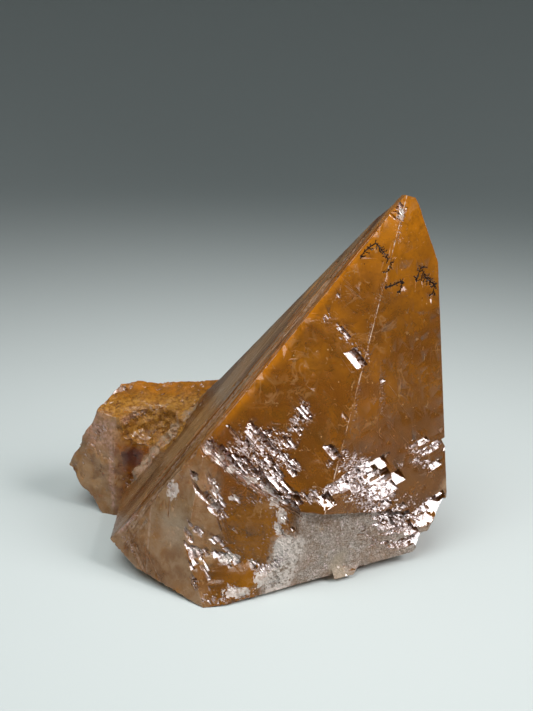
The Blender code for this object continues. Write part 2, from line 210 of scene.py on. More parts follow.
FRONT_LEFT_FACE = Plane(APEX, AXES.front_left)
FRONT_RIGHT_FACE = Plane(APEX, AXES.front_right)
STRIP_FACE = Plane(APEX, AXES.strip)
PALE_FACET = through(LEFT_EDGE_FOOT, LEFT_FOOT, TOE, direction(-125.0, 15.0))
FROSTED_SLOPE = Plane(BREAK_END, direction(-65.0, -6.0))
PALE_FLANK = Plane(RIGHT_FLANK, direction(-35.0, -11.0))
SIDE_FLANK = Plane(SIDE_EDGE_FOOT, direction(-115.5, 1.9))
SIDE_DARK = Plane(SIDE_EDGE_FOOT, direction(-94.0, 0.5))
SIDE_ROOF = Plane(SIDE_TOP, direction(-94.0, 69.0))
BACK_BREAK = Plane(BACK_FOOT, direction(82.0, 10.0))


# ---------------------------------------------------------------- cutting by blocks
class Look(Enum):
    """The side from which a patch of chips is laid out: where it is seen from."""

    FRONT = (0.0, 1.0)
    BACK = (0.0, -1.0)
    LEFT = (1.0, 0.0)
    RIGHT = (-1.0, 0.0)

    @property
    def inward(self) -> Vector:
        """The level direction into the stone from this side."""
        return Vector((self.value[0], self.value[1], 0.0))

    @property
    def sideways(self) -> Vector:
        """The level direction across this side."""
        return Vector((abs(self.value[1]), abs(self.value[0]), 0.0))

    def start(self, across: float, up: float, distance: float) -> Vector:
        """A point in front of a place on this side.

        Args:
            across: the place's x for the front and the back, and its y for the other two.
            up: the place's height.
            distance: how far out the point lies.

        Returns:
            The point.
        """
        return self.sideways * across + Vector((0.0, 0.0, up)) - self.inward * distance

    def lay(self, across: float, up: float, outward: Vector) -> Vector:
        """Lay a drawn direction on the surface.

        Args:
            across: its share across.
            up: its share upward.
            outward: the surface's normal.

        Returns:
            The unit direction in the surface that looks like the drawn one from this side.
        """
        drawn = self.sideways * across + Vector((0.0, 0.0, up))
        return (drawn - self.inward * (drawn.dot(outward) / self.inward.dot(outward))).normalized()


@dataclass
class BlockCutter:
    """Gathers slanted blocks and takes them all out of a body in one cut."""

    body: bpy.types.Object
    seed: int
    reach: float = 130.0
    collection: bpy.types.Collection = field(init=False)
    tree: BVHTree = field(init=False)
    dice: random.Random = field(init=False)

    FACES = ((0, 1, 3, 2), (4, 6, 7, 5), (0, 4, 5, 1), (2, 3, 7, 6), (0, 2, 6, 4), (1, 5, 7, 3))

    def __post_init__(self) -> None:
        """Read the body's surface and make the place where the blocks wait."""
        self.collection = bpy.data.collections.new("block_cutters")
        shape = bmesh.new()
        shape.from_mesh(self.body.data)
        self.tree = BVHTree.FromBMesh(shape)
        shape.free()
        self.dice = random.Random(self.seed)

    def add_block(self, corner: Vector, edges: list[Vector]) -> None:
        """Set a block to be taken out.

        Args:
            corner: one of its corners.
            edges: the three edges that leave that corner.
        """
        points = [corner + edges[0] * a + edges[1] * b + edges[2] * c
                  for a in (0, 1) for b in (0, 1) for c in (0, 1)]
        turned = edges[0].cross(edges[1]).dot(edges[2]) > 0.0
        faces = self.FACES if turned else [face[::-1] for face in self.FACES]
        mesh = bpy.data.meshes.new("block")
        mesh.from_pydata(points, [], faces)
        self.collection.objects.link(bpy.data.objects.new("block", mesh))

    def find(self, look: Look, across: float, up: float) -> tuple[Vector, Vector] | None:
        """Find a place of the surface, seen from one side.

        Args:
            look: the side.
            across: how far across.
            up: how high.

        Returns:
            The place and the surface's normal there, or None beside the body.
        """
        place, outward, _, _ = self.tree.ray_cast(look.start(across, up, self.reach), look.inward)
        return None if place is None else (place, outward)

    def add_chip(self, place: Vector, outward: Vector, depth: float,
                 stretch: tuple[float, float], wobble: float) -> None:
        """Set a chip that splits along the cleavage.

        Args:
            place: a point on the surface.
            outward: the surface's normal there.
            depth: how deep the chip's corner lies.
            stretch: shortest and longest edge of the chip, in depths.
            wobble: how far it may be turned off the true cleavage, in degrees.
        """
        turn = Euler([math.radians(self.dice.gauss(0.0, wobble)) for _ in range(3)]).to_matrix()
        walls = [turn @ (wall if wall.dot(outward) > 0.0 else -wall) for wall in AXES.cleavage]
        corner = place - (walls[0] + walls[1] + walls[2]).normalized() * depth
        edges = []
        for index in range(3):
            along = walls[(index + 1) % 3].cross(walls[(index + 2) % 3]).normalized()
            if along.dot(walls[index]) < 0.0:
                along = -along
            edges.append(along * depth * self.dice.uniform(*stretch))
        self.add_block(corner, edges)

    def cut(self) -> int:
        """Take every block out of the body and clear the blocks away.

        Returns:
            How many blocks were cut.
        """
        boolean = self.body.modifiers.new("blocks", "BOOLEAN")
        boolean.operation = "DIFFERENCE"
        boolean.solver = "MANIFOLD"
        boolean.operand_type = "COLLECTION"
        boolean.collection = self.collection
        evaluated = self.body.evaluated_get(bpy.context.evaluated_depsgraph_get())
        result = bpy.data.meshes.new_from_object(evaluated)
        self.body.modifiers.remove(boolean)
        old = self.body.data
        self.body.data = result
        blocks = list(self.collection.objects)
        meshes = [block.data for block in blocks]
        bpy.data.batch_remove(blocks)
        bpy.data.batch_remove([*meshes, old])
        bpy.data.collections.remove(self.collection)
        return len(blocks)


@dataclass(frozen=True)
class Scatter:
    """Places strewn along a line, each an (across, up) pair as seen from one side."""

    line: tuple[tuple[float, float], ...]
    spread: float
    count: int
    look: Look = field(default=Look.FRONT, kw_only=True)

    GRAZING = 0.05

    def places(self, cutter: BlockCutter) -> Iterator[tuple[Vector, Vector, Vector]]:
        """Strew the places.

        Args:
            cutter: knows the surface and the dice.

        Returns:
            For each place its point, its normal, and the line's direction laid on the surface.
        """
        legs = list(zip(self.line, self.line[1:]))
        dice = cutter.dice
        for _ in range(self.count):
            (across, up), (far_across, far_up) = dice.choice(legs)
            share = dice.random()
            spot = (across + (far_across - across) * share + dice.gauss(0.0, self.spread),
                    up + (far_up - up) * share + dice.gauss(0.0, self.spread))
            found = cutter.find(self.look, *spot)
            if found is not None and abs(found[1].dot(self.look.inward)) > self.GRAZING:
                yield *found, self.look.lay(far_across - across, far_up - up, found[1])


@dataclass(frozen=True)
class ChipPatch(Scatter):
    """Chips that have split off along the cleavage, and how milky they have left the stone."""

    depth: tuple[float, float]
    stretch: tuple[float, float] = (2.0, 6.0)
    milk: float = 1.0
    wobble: float = 8.0

    def carve(self, cutter: BlockCutter) -> None:
        """Set the patch's chips.

        Args:
            cutter: what they are cut with.
        """
        for place, outward, _ in self.places(cutter):
            cutter.add_chip(place, outward, cutter.dice.uniform(*self.depth), self.stretch, self.wobble)


@dataclass(frozen=True)
class Grooves(Scatter):
    """Long shallow grooves that run side by side along the line."""

    depth: tuple[float, float]
    width: tuple[float, float]
    run: tuple[float, float]
    tilt: float = 8.0

    def carve(self, cutter: BlockCutter) -> None:
        """Set the grooves.

        Args:
            cutter: what they are cut with.
        """
        dice = cutter.dice
        for place, outward, along in self.places(cutter):
            turn = Matrix.Rotation(math.radians(dice.gauss(0.0, self.tilt)), 3, along)
            out = turn @ outward
            corner = place - outward * dice.uniform(*self.depth)
            cutter.add_block(corner, [along * dice.uniform(*self.run),
                                      out.cross(along) * dice.uniform(*self.width), out * 1.5])


FINE = (0.05, 0.24)
BROAD = (0.4, 0.9)

CHIP_PATCHES = (
    # the broken brim above the window, and the glittering patch over it
    ChipPatch(((-10.8, 39.9), (-8.5, 38.2), (-5.9, 35.4), (-2.6, 33.4)), 0.5, 120, FINE, milk=0.8),
    ChipPatch(((-2.6, 33.4), (1.3, 31.1), (4.7, 28.6), (7.8, 26.6), (12.5, 24.0)), 0.9, 420, FINE),
    ChipPatch(((-1.2, 37.5), (1.3, 39.9), (5.2, 40.7), (9.0, 38.7)), 1.7, 640, FINE),
    ChipPatch(((2.6, 35.0), (8.0, 33.0)), 1.2, 220, FINE),
    ChipPatch(((-6.5, 38.5), (-9.5, 41.5)), 0.7, 50, FINE),
    ChipPatch(((9.0, 39.5), (12.1, 43.5), (14.5, 48.0)), 0.7, 110, FINE),
    ChipPatch(((8.0, 36.0), (11.6, 34.2), (14.5, 34.0)), 0.6, 70, FINE),
    ChipPatch(((15.2, 50.0), (17.2, 48.0), (13.6, 41.0)), 0.45, 60, FINE),
    # the ledge over the frosted slope
    ChipPatch(((9.5, 28.5), (12.0, 26.5), (15.5, 27.0)), 0.5, 34, (0.15, 0.5)),
    ChipPatch(((15.5, 27.0), (20.0, 28.0), (24.0, 28.6)), 0.7, 150, (0.08, 0.35)),
    ChipPatch(((21.5, 38.2), (24.0, 37.0), (26.0, 38.2)), 0.6, 26, (0.15, 0.45)),
    ChipPatch(((21.0, 34.8), (23.5, 35.6)), 0.4, 16, FINE),
    # the glittering band down the right front face
    ChipPatch(((24.8, 34.5), (28.0, 35.0), (31.0, 33.5)), 1.1, 240, FINE),
    ChipPatch(((27.0, 31.0), (31.5, 28.0), (28.0, 25.5)), 1.4, 380, FINE),
    ChipPatch(((30.0, 23.5), (34.5, 20.5), (37.0, 16.0)), 1.3, 420, FINE),
    ChipPatch(((36.5, 14.5), (41.0, 12.0), (45.0, 12.5)), 1.3, 420, FINE),
    ChipPatch(((45.0, 12.5), (48.0, 16.5), (52.0, 17.5)), 0.8, 200, FINE),
    ChipPatch(((31.5, 14.5), (33.5, 10.5), (37.0, 8.0)), 0.7, 130, FINE),
    ChipPatch(((38.0, 8.0), (42.0, 5.5), (46.0, 7.5)), 0.9, 200, FINE),
    # the scatter near the right corner
    ChipPatch(((43.5, 33.5), (47.5, 31.5), (52.0, 33.3)), 0.8, 90, FINE),
    ChipPatch(((45.5, 30.3), (50.8, 27.1)), 0.6, 60, (0.06, 0.3)),
    ChipPatch(((40.5, 30.5), (43.0, 29.5)), 0.4, 20, FINE),
    ChipPatch(((34.0, 26.0), (38.0, 22.5), (41.0, 17.5)), 1.3, 170, (0.04, 0.15)),
    ChipPatch(((41.0, 17.5), (45.0, 20.0), (47.0, 14.5)), 1.2, 110, (0.04, 0.15)),
    # the torn feathers in the window, and the bright places at the foot
    ChipPatch(((-13.2, 31.8), (-12.6, 31.0)), 0.4, 8, (0.12, 0.4)),
    ChipPatch(((-9.0, 31.5), (-7.6, 27.1), (-6.0, 20.6)), 0.6, 46, (0.12, 0.5), (2.0, 5.0)),
    ChipPatch(((-7.4, 27.5), (-6.2, 22.0)), 0.5, 15, BROAD, (2.5, 4.5), 1.0, 3.0),
    ChipPatch(((-12.8, 18.4), (-12.2, 17.4)), 0.4, 12, BROAD, (2.0, 3.6), 1.0, 3.0),
    ChipPatch(((-3.8, 26.7), (-1.6, 26.2)), 0.25, 9, (0.3, 0.6), (2.5, 4.5), 1.0, 3.0),
    ChipPatch(((0.3, 26.8), (4.2, 25.4)), 0.5, 9, (0.1, 0.35)),
    ChipPatch(((6.6, 27.0), (8.4, 25.6)), 0.4, 9, (0.15, 0.5)),
    ChipPatch(((8.3, 19.4), (8.8, 17.6)), 0.4, 13, (0.3, 0.7)),
    ChipPatch(((9.4, 24.0), (9.6, 20.0)), 0.5, 16, (0.2, 0.6)),
    ChipPatch(((-4.4, 18.8), (-2.8, 18.0)), 0.2, 5, (0.15, 0.4)),
    ChipPatch(((-8.0, 26.0), (7.5, 23.5), (7.0, 13.0), (-8.0, 14.0)), 1.8, 130, (0.04, 0.16), milk=0.9),
    ChipPatch(((-13.6, 13.4), (-11.0, 11.4)), 0.45, 15, BROAD, (2.2, 4.2), 1.0, 3.0),
    ChipPatch(((-6.2, 11.4), (-2.2, 9.8)), 0.5, 24, BROAD, (2.0, 4.0), 1.0, 3.0),
    ChipPatch(((0.8, 10.2), (3.0, 9.4)), 0.2, 4, (0.2, 0.5)),
    ChipPatch(((-9.8, 9.0), (-8.6, 4.0)), 0.35, 9, (0.2, 0.55), (3.0, 7.0), 0.8, 2.5),
    ChipPatch(((-13.6, 6.4), (-12.4, 3.8)), 0.4, 40, (0.08, 0.35)),
    ChipPatch(((4.0, 8.0), (8.0, 8.8), (10.5, 13.0)), 0.8, 90, (0.08, 0.4)),
    ChipPatch(((-5.4, 4.0), (-1.8, 4.2)), 0.6, 24, FINE),
    ChipPatch(((-11.0, 1.8), (0.0, 1.6), (10.0, 4.5)), 0.7, 150, FINE, milk=0.8),
    # the crease of the point, the tip and the places beside it
    ChipPatch(((41.2, 99.3), (40.4, 93.5), (39.6, 89.4)), 0.14, 44, (0.03, 0.13)),
    ChipPatch(((36.0, 79.0), (35.5, 77.4), (33.9, 71.5)), 0.1, 14, (0.03, 0.11)),
    ChipPatch(((33.9, 71.5), (30.0, 57.0), (27.6, 43.1)), 0.2, 36, (0.04, 0.17)),
    ChipPatch(((39.6, 98.2), (41.2, 96.6), (40.4, 94.8)), 0.45, 60, (0.06, 0.28)),
    ChipPatch(((24.0, 68.0), (27.7, 65.2), (31.0, 60.0)), 0.9, 60, (0.06, 0.25)),
    ChipPatch(((24.4, 76.8), (24.8, 75.4)), 0.2, 5, (0.15, 0.35)),
    ChipPatch(((20.5, 70.0), (22.0, 71.0)), 0.4, 14, FINE),
    ChipPatch(((35.5, 55.0), (36.2, 50.0), (35.6, 45.0)), 0.3, 34, (0.05, 0.16)),
    # lone pits over the whole front, and the worn left side
    ChipPatch(((0.0, 45.0), (20.0, 70.0), (40.0, 60.0), (46.0, 40.0), (15.0, 40.0)), 7.0, 300,
              (0.03, 0.09), (1.2, 2.6), 0.0, 12.0),
    ChipPatch(((36.0, 90.0), (44.0, 74.0), (50.0, 50.0)), 4.0, 110, (0.03, 0.07), (1.2, 2.6), 0.0, 12.0),
    ChipPatch(((-34.0, 10.0), (-20.0, 22.0), (-19.0, 26.0)), 2.0, 90, (0.04, 0.2), milk=0.5),
    ChipPatch(((-36.0, 10.5), (-31.5, 14.5), (-29.5, 17.5)), 0.6, 70, (0.05, 0.3), milk=0.9),
    ChipPatch(((-33.5, 10.8), (-31.4, 8.9), (-29.3, 7.0)), 0.8, 90, (0.05, 0.26), milk=0.9),
    ChipPatch(((-26.0, 20.0), (-19.0, 12.0), (-17.0, 22.0)), 3.0, 90, (0.03, 0.12), milk=0.6),
    ChipPatch(((-24.0, 24.0), (-14.0, 34.0)), 1.2, 70, (0.05, 0.22), milk=0.7),
    ChipPatch(((-19.8, 27.2), (-18.6, 25.0)), 0.5, 14, (0.15, 0.5), (2.0, 5.0)),
    ChipPatch(((-52.0, 16.0), (-44.0, 28.0), (-42.0, 6.0)), 2.5, 90, (0.03, 0.16), milk=0.6),
    ChipPatch(((-41.0, 28.5), (-36.0, 31.0), (-29.0, 32.5)), 0.7, 40, (0.05, 0.3), milk=0.8),
    ChipPatch(((-46.5, 26.0), (-43.0, 28.0)), 0.8, 30, (0.05, 0.3), milk=0.9),
    ChipPatch(((-46.0, 31.0), (-40.0, 36.0), (-26.0, 37.5), (-14.0, 37.5)), 0.9, 36, (0.05, 0.3), milk=0.3),
    # sparkle down the narrow strip face
    ChipPatch(((2.0, 92.0), (-10.0, 58.0), (-20.0, 20.0)), 4.0, 150, (0.08, 0.34), milk=0.0, wobble=12.0,
              look=Look.LEFT),
    # the broken back and right side
    ChipPatch(((10.0, 12.0), (24.0, 40.0), (40.0, 20.0)), 7.0, 200, (0.1, 0.6), milk=0.0, look=Look.BACK),
    ChipPatch(((-10.0, 10.0), (10.0, 30.0), (20.0, 12.0)), 7.0, 160, (0.1, 0.5), milk=0.0, look=Look.RIGHT),
    ChipPatch(((14.0, 10.0), (26.0, 24.0)), 5.0, 90, (0.1, 0.4), milk=0.0, look=Look.LEFT),
)

GROOVES = (
    # growth lines down the narrow strip face
    Grooves(((4.0, 96.0), (-9.0, 60.0), (-19.0, 22.0)), 5.0, 80, (0.05, 0.3), (0.7, 2.6), (5.0, 34.0), 10.0,
            look=Look.LEFT),
    # the flakes that lie side by side along the brim
    Grooves(((-10.8, 40.2), (-8.0, 37.4), (-5.4, 34.8)), 0.6, 34, (0.15, 0.5), (0.12, 0.4), (2.0, 6.0),
            16.0),
    Grooves(((-3.5, 33.6), (5.0, 28.2), (12.0, 24.0)), 0.7, 60, (0.1, 0.5), (0.12, 0.4), (1.5, 5.0), 16.0),
    # the fan of streaks in the window
    Grooves(((-9.6, 31.8), (-6.6, 21.5)), 0.9, 26, (0.08, 0.4), (0.12, 0.5), (2.5, 7.0), 18.0),
    # streaks across the pale facet and its foot
    Grooves(((-21.0, 29.0), (-32.0, 12.0)), 1.2, 24, (0.04, 0.2), (0.2, 0.8), (2.0, 8.0)),
    Grooves(((-34.0, 13.0), (-27.0, 2.0)), 2.2, 26, (0.04, 0.2), (0.2, 0.9), (2.0, 7.0)),
    # scratches over the two front faces
    Grooves(((24.0, 81.0), (29.5, 76.5)), 0.5, 16, (0.02, 0.06), (0.06, 0.14), (1.0, 3.5)),
    Grooves(((20.0, 60.0), (34.0, 40.0)), 6.0, 26, (0.02, 0.06), (0.05, 0.12), (1.0, 6.0)),
    Grooves(((38.0, 44.0), (44.0, 36.0)), 3.0, 12, (0.02, 0.06), (0.05, 0.12), (2.0, 7.0)),
)


@dataclass(frozen=True)
class EdgeWear:
    """Rubbed and nicked edges: short flats of uneven depth along each long edge."""

    shortest: float = 4.0
    bluntest: float = 0.3
    lowest: float = 0.5
    blunting: float = 1.4
    worn_share: float = 0.6
    piece: tuple[float, float] = (0.8, 4.0)
    pace: tuple[float, float] = (0.9, 1.2)
    depth: tuple[float, float] = (0.03, 0.17)
    half_width: float = 0.8
    tilt: float = 7.0
    nick_spacing: float = 2.6
    nick_depth: tuple[float, float] = (0.06, 0.48)
    nick_stretch: tuple[float, float] = (2.0, 6.0)
    nick_wobble: float = 6.0

    def carve(self, cutter: BlockCutter) -> None:
        """Set the flats and nicks of every long edge.

        Args:
            cutter: what they are cut with.
        """
        shape = bmesh.new()
        shape.from_mesh(cutter.body.data)
        for edge in shape.edges:
            if len(edge.link_faces) != 2 or not edge.is_convex:
                continue
            if edge.calc_face_angle(0.0) < self.bluntest or edge.calc_length() < self.shortest:
                continue
            if max(vert.co.z for vert in edge.verts) < self.lowest:
                continue
            outward = (edge.link_faces[0].normal + edge.link_faces[1].normal).normalized()
            sharpness = min(1.0, (edge.calc_face_angle() / (math.pi / 2.0)) ** self.blunting)
            self.wear_edge(cutter, edge.verts[0].co, edge.verts[1].co, outward, sharpness)
        shape.free()

    def wear_edge(self, cutter: BlockCutter, start: Vector, end: Vector, outward: Vector,
                  sharpness: float) -> None:
        """Set the flats and nicks of one edge.

        Args:
            cutter: what they are cut with.
            start: one end of the edge.
            end: the other end.
            outward: the direction out of the stone, half way between its two faces.
            sharpness: 1 for a square edge and less for a blunt one, which wears less deeply.
        """
        dice = cutter.dice
        length = (end - start).length
        along = (end - start) / length
        across = outward.cross(along)
        done = 0.0
        while done < length:
            run = dice.uniform(*self.piece)
            turn = Matrix.Rotation(math.radians(dice.gauss(0.0, self.tilt)), 3, along)
            out, side = turn @ outward, turn @ across
            sunk = dice.uniform(*self.depth) * sharpness
            low = start + along * done - out * sunk - side * self.half_width
            if dice.random() < self.worn_share:
                cutter.add_block(low, [along * run, side * 2.0 * self.half_width, out * self.half_width])
            done += run * dice.uniform(*self.pace)
        for _ in range(int(length / self.nick_spacing + dice.random())):
            place = start.lerp(end, dice.random())
            cutter.add_chip(place, outward, dice.uniform(*self.nick_depth) * sharpness,
                            self.nick_stretch, self.nick_wobble)


@dataclass(frozen=True)
class FernStroke:
    """One stem of the black feathery stain, as (across, up) places in the front view."""

    stem: tuple[tuple[float, float], ...]
    twig: float


FERNS = (
    FernStroke(((29.9, 85.0), (30.8, 86.6), (32.4, 87.9), (34.0, 88.9), (35.2, 87.6), (36.4, 86.2),
                (37.9, 84.2), (36.9, 81.8)), 1.5),
    FernStroke(((36.3, 77.8), (38.6, 78.2), (41.2, 78.9), (41.0, 77.4), (40.4, 75.9)), 1.1),
    FernStroke(((45.3, 78.0), (46.0, 80.0), (46.7, 81.7)), 1.4),
    FernStroke(((46.7, 81.7), (48.2, 78.6), (51.0, 76.3), (50.2, 73.8)), 1.8),
)


@dataclass
class FernStain:
    """Grows the feathery stains: stems with twigs on both sides, and smaller twigs on those."""

    seed: int = 77
    step: float = 0.5
    width: float = 0.16
    etching: float = 0.015
    shortest: float = 0.35
    twig_chance: float = 0.72
    twig_turn: tuple[float, float] = (35.0, 70.0)
    twig_reach: tuple[float, float] = (0.25, 1.0)
    unevenness: tuple[float, float] = (0.7, 1.3)
    shortening: float = 0.32
    thinning: float = 0.72
    least_stroke: float = 0.02
    same_flat: float = 0.99
    margin: float = 1.6
    lowest: float = 68.0
    highest: float = 94.0
    strokes: list[tuple[np.ndarray, np.ndarray, float]] = field(default_factory=list)

    def __post_init__(self) -> None:
        """Grow every stem."""
        dice = random.Random(self.seed)
        for fern in FERNS:
            places = [np.array(place) for place in fern.stem]
            for a, b in zip(places, places[1:]):
                self.grow(a, b, fern.twig, self.width, dice)

    def grow(self, a: np.ndarray, b: np.ndarray, twig: float, width: float,
             dice: random.Random) -> None:
        """Draw one stem or twig, and the twigs that leave it.

        Args:
            a: where it starts.
            b: where it ends.
            twig: length of the twigs that leave it.
            width: half its width.
            dice: the source of chance.
        """
        self.strokes.append((a, b, width))
        if twig < self.shortest:
            return
        length = float(np.linalg.norm(b - a))
        heading = math.atan2(b[1] - a[1], b[0] - a[0])
        count = max(1, int(length / self.step))
        for index in range(count):
            start = a + (b - a) * ((index + dice.random()) / count)
            for side in (-1.0, 1.0):
                if dice.random() < self.twig_chance:
                    turn = heading + side * math.radians(dice.uniform(*self.twig_turn))
                    reach = twig * dice.uniform(*self.twig_reach)
                    tip = start + np.array((math.cos(turn), math.sin(turn))) * reach
                    self.grow(start, tip, twig * self.shortening, width * self.thinning, dice)

    def etch(self, cutter: BlockCutter) -> None:
        """Let each stroke into the surface by a hair, so that the stain has its own faces.

        Args:
            cutter: what they are cut with.
        """
        for a, b, width in self.strokes:
            ends = [cutter.find(Look.FRONT, *spot) for spot in (a, b)]
            if None in ends or ends[0][1].dot(ends[1][1]) < self.same_flat:
                continue
            outward = ends[0][1]
            along = ends[1][0] - ends[0][0]
            if along.length < self.least_stroke:
                continue
            side = outward.cross(along.normalized()) * width * cutter.dice.uniform(*self.unevenness)
            cutter.add_block(ends[0][0] - side - outward * self.etching, [along, side * 2.0, outward])

    def weight(self, places: np.ndarray) -> np.ndarray:
        """Which faces belong to the stain.

        Args:
            places: the middles of faces, as rows of x, y and z.

        Returns:
            1 for the stain and 0 elsewhere.
        """
        black = np.zeros(len(places))
        depth = np.minimum(FRONT_LEFT_FACE.below(places), FRONT_RIGHT_FACE.below(places))
        let_in = (depth > self.etching * 0.5) & (depth < self.etching * 3.0)
        near = np.where(let_in & (places[:, 2] > self.lowest) & (places[:, 2] < self.highest))[0]
        flat = places[near][:, (0, 2)]
        for a, b, width in self.strokes:
            black[near] = np.maximum(black[near], segment_distance(flat, a, b) < width * self.margin)
        return black


# ---------------------------------------------------------------- regions of the surface
def smooth(value: np.ndarray, low: float, high: float) -> np.ndarray:
    """A soft step.

    Args:
        value: what is tested.
        low: where the step begins, with 0.
        high: where it ends, with 1. It may lie under low, which turns the step round.

    Returns:
        Numbers from 0 to 1.
    """
    share = np.clip((value - low) / (high - low), 0.0, 1.0)
    return share * share * (3.0 - 2.0 * share)


def segment_distance(points: np.ndarray, a: np.ndarray, b: np.ndarray) -> np.ndarray:
    """Distance from points to a straight piece of line, in any number of dimensions.

    Args:
        points: one point in each row.
        a: one end.
        b: the other end.

    Returns:
        One distance for each row.
    """
    along = b - a
    share = np.clip(((points - a) @ along) / max(float(along @ along), 1e-9), 0.0, 1.0)
    return np.linalg.norm(points - a - share[:, None] * along, axis=1)


def wander(points: np.ndarray, size: float, seed: float) -> np.ndarray:
    """Smooth chance variation over the surface.

    Args:
        points: rows of x, y and z.
        size: the width of one variation.
        seed: shifts the pattern.

    Returns:
        One number from about -1 to 1 for each row.
    """
    shift = Vector((seed, seed * 1.7, -seed))
    return np.array([noise.noise(Vector(row) / size + shift) for row in points])


# Lines of the pinkish crests, which are partly rubbed and partly painted highlight.
CRESTS = (
    # the brim
    ((-10.8, -25.5, 39.9), (-8.5, -26.2, 38.2), (-5.9, -27.3, 35.4), (-2.6, -27.9, 33.4),
     (4.7, -29.7, 28.0)),
    # the small crystal's upper edge, and the upright edge under it
    ((-47.5, 18.0, 25.9), (-44.8, 16.8, 27.7), (-41.4, 15.2, 29.2), (-36.8, 14.5, 31.1),
     (-31.1, 18.0, 32.4)),
    ((-41.4, 15.2, 29.2), (-41.3, 14.8, 18.1), (-41.8, 14.5, 3.0)),
    # the left foot
    ((-34.4, -19.0, 11.8), (-30.0, -20.0, 16.8)),
)


@dataclass
class Regions:
    """Says how much of each kind of surface there is at each place.

    Each row of places goes with a row of facing, the direction in which the surface looks there.
    """

    places: np.ndarray
    facing: np.ndarray

    def on(self, plane: Plane, reach: float = 1.2) -> np.ndarray:
        """How much the places belong to one flat, by distance and direction."""
        near = smooth(np.abs(plane.below(self.places)), reach, reach * 0.35)
        return near * smooth(self.facing @ np.array(plane.normal), 0.72, 0.86)

    def pale(self) -> np.ndarray:
        """The beige, milky places.

        Returns:
            One weight for each place.
        """
        x, y, up = self.places.T
        facet = self.on(PALE_FACET, 2.0) * smooth(up, 41.0, 33.0)
        flank = self.on(PALE_FLANK, 2.0) * smooth(x, 30.0, 40.0)
        side = self.on(SIDE_FLANK, 2.2) * smooth(x, -36.0, -42.0)
        under = smooth(-self.facing[:, 2], 0.5, 0.8) * 0.7
        back = self.on(BACK_BREAK, 3.0) * 0.45
        flat = self.places[:, (0, 2)]
        haze = smooth(segment_distance(flat, *np.array(HAZE)), 5.2, 2.0) * smooth(y, -20.0, -23.0) * 0.8
        return np.clip(np.maximum.reduce([facet, flank * 0.9, side, under, back, haze]), 0.0, 1.0)

    def frost(self) -> np.ndarray:
        """The grey, granular breaks.

        Returns:
            One weight for each place.
        """
        inside = np.minimum(FRONT_LEFT_FACE.below(self.places), FRONT_RIGHT_FACE.below(self.places))
        slope = self.on(FROSTED_SLOPE, 2.2) * smooth(inside, 0.2, 0.7)
        slope = slope * smooth(self.places[:, 0], 11.0, 15.0)
        under = smooth(-self.facing[:, 2], 0.6, 0.9)
        return np.clip(np.maximum.reduce([slope, under, self.snow()]), 0.0, 1.0)

    def snow(self) -> np.ndarray:
        """The whitest part of the frost, at the slope's left end."""
        return smooth(segment_distance(self.places, np.array(SPILL_TOP), np.array(SPILL_FOOT)), 5.6, 2.4)

    def chunk(self) -> np.ndarray:
        """The small clear block under the front."""
        away = np.linalg.norm(self.places - np.array(CHUNK), axis=1)
        return smooth(away, 5.0, 3.6) * smooth(self.places[:, 1], -24.0, -25.5)

    def crust(self) -> np.ndarray:
        """The creamy crust in the valley between the crystals.

        Returns:
            One weight for each place.
        """
        away = segment_distance(self.places, np.array(VALLEY_TOP), np.array(VALLEY_FOOT))
        uneven = np.sin(self.places[:, 2] * 1.9) * 0.35 + np.sin(self.places[:, 0] * 3.1 + 1.0) * 0.25
        return smooth(away + uneven, 2.9, 1.8)

    def pocket(self) -> np.ndarray:
        """The rough hollow in the small crystal's top."""
        away = np.linalg.norm((self.places - np.array(POCKET)) / np.array(POCKET_RADII), axis=1)
        return smooth(away, 1.18, 1.04) * smooth(self.places[:, 2], 22.0, 24.0)

    def side_roof(self) -> np.ndarray:
        """The orange top of the small crystal."""
        return self.on(SIDE_ROOF, 2.4) * smooth(self.places[:, 0], -4.0, -10.0)

    def rust_and_shade(self) -> np.ndarray:
        """Red-brown and violet stain, with painted shade, on the small crystal's dark face."""
        return self.on(SIDE_DARK, 2.0) * smooth(self.places[:, 0], -43.0, -40.0)

    def golden_light_and_sand(self) -> np.ndarray:
        """Painted golden light along the top of the dark face, and the sandy ground round the hollow.

        Returns:
            One weight for each place.
        """
        dark = self.on(SIDE_DARK, 2.0) * smooth(self.places[:, 2], 21.5, 27.0)
        roof = self.side_roof() * smooth(self.places[:, 1], 27.0, 20.0)
        return np.clip(np.maximum.reduce([dark, roof, self.pocket()]), 0.0, 1.0)

    def bruise(self) -> np.ndarray:
        """The violet stain in the dark face."""
        return smooth(np.linalg.norm(self.places - np.array(BRUISE), axis=1), 5.0, 1.4)

    def shade(self) -> np.ndarray:
        """The brown band along the foot of the pale facet."""
        away = segment_distance(self.places, *np.array(BROWN_BAND))
        return smooth(away, 4.2, 1.4) * self.on(PALE_FACET, 2.0)

    def facet_highlight(self) -> np.ndarray:
        """The lighter middle of the pale facet: a painted highlight."""
        away = np.linalg.norm(self.places - np.array(FACET_HIGHLIGHT), axis=1)
        return smooth(away, 7.0, 2.0) * self.on(PALE_FACET, 2.0)

    def strip(self) -> np.ndarray:
        """The striped grey face along the left edge."""
        return self.on(STRIP_FACE, 2.8) * smooth(self.places[:, 2], 8.0, 16.0)

    def painted_tip_glow(self) -> np.ndarray:
        """The thin tip, where an orange glow is painted into the colour, as if light shone through it."""
        return 0.75 * smooth(self.places[:, 2], 54.0, 106.0)

    def dusk(self) -> np.ndarray:
        """The deeper brown of the lower front faces.

        Returns:
            One weight for each place.
        """
        front = np.maximum(self.on(FRONT_LEFT_FACE), self.on(FRONT_RIGHT_FACE))
        x, _, up = self.places.T
        glitter = smooth(segment_distance(self.places[:, (0, 2)], *np.array(DUSK_LINE)), 12.0, 3.0)
        low = smooth(up + 0.35 * (40.0 - x), 62.0, 34.0)
        return np.maximum(low, glitter) * front

    def rise(self) -> np.ndarray:
        """The upper part, where an orange glow is painted along the edges too."""
        return smooth(self.places[:, 2], 24.0, 50.0)

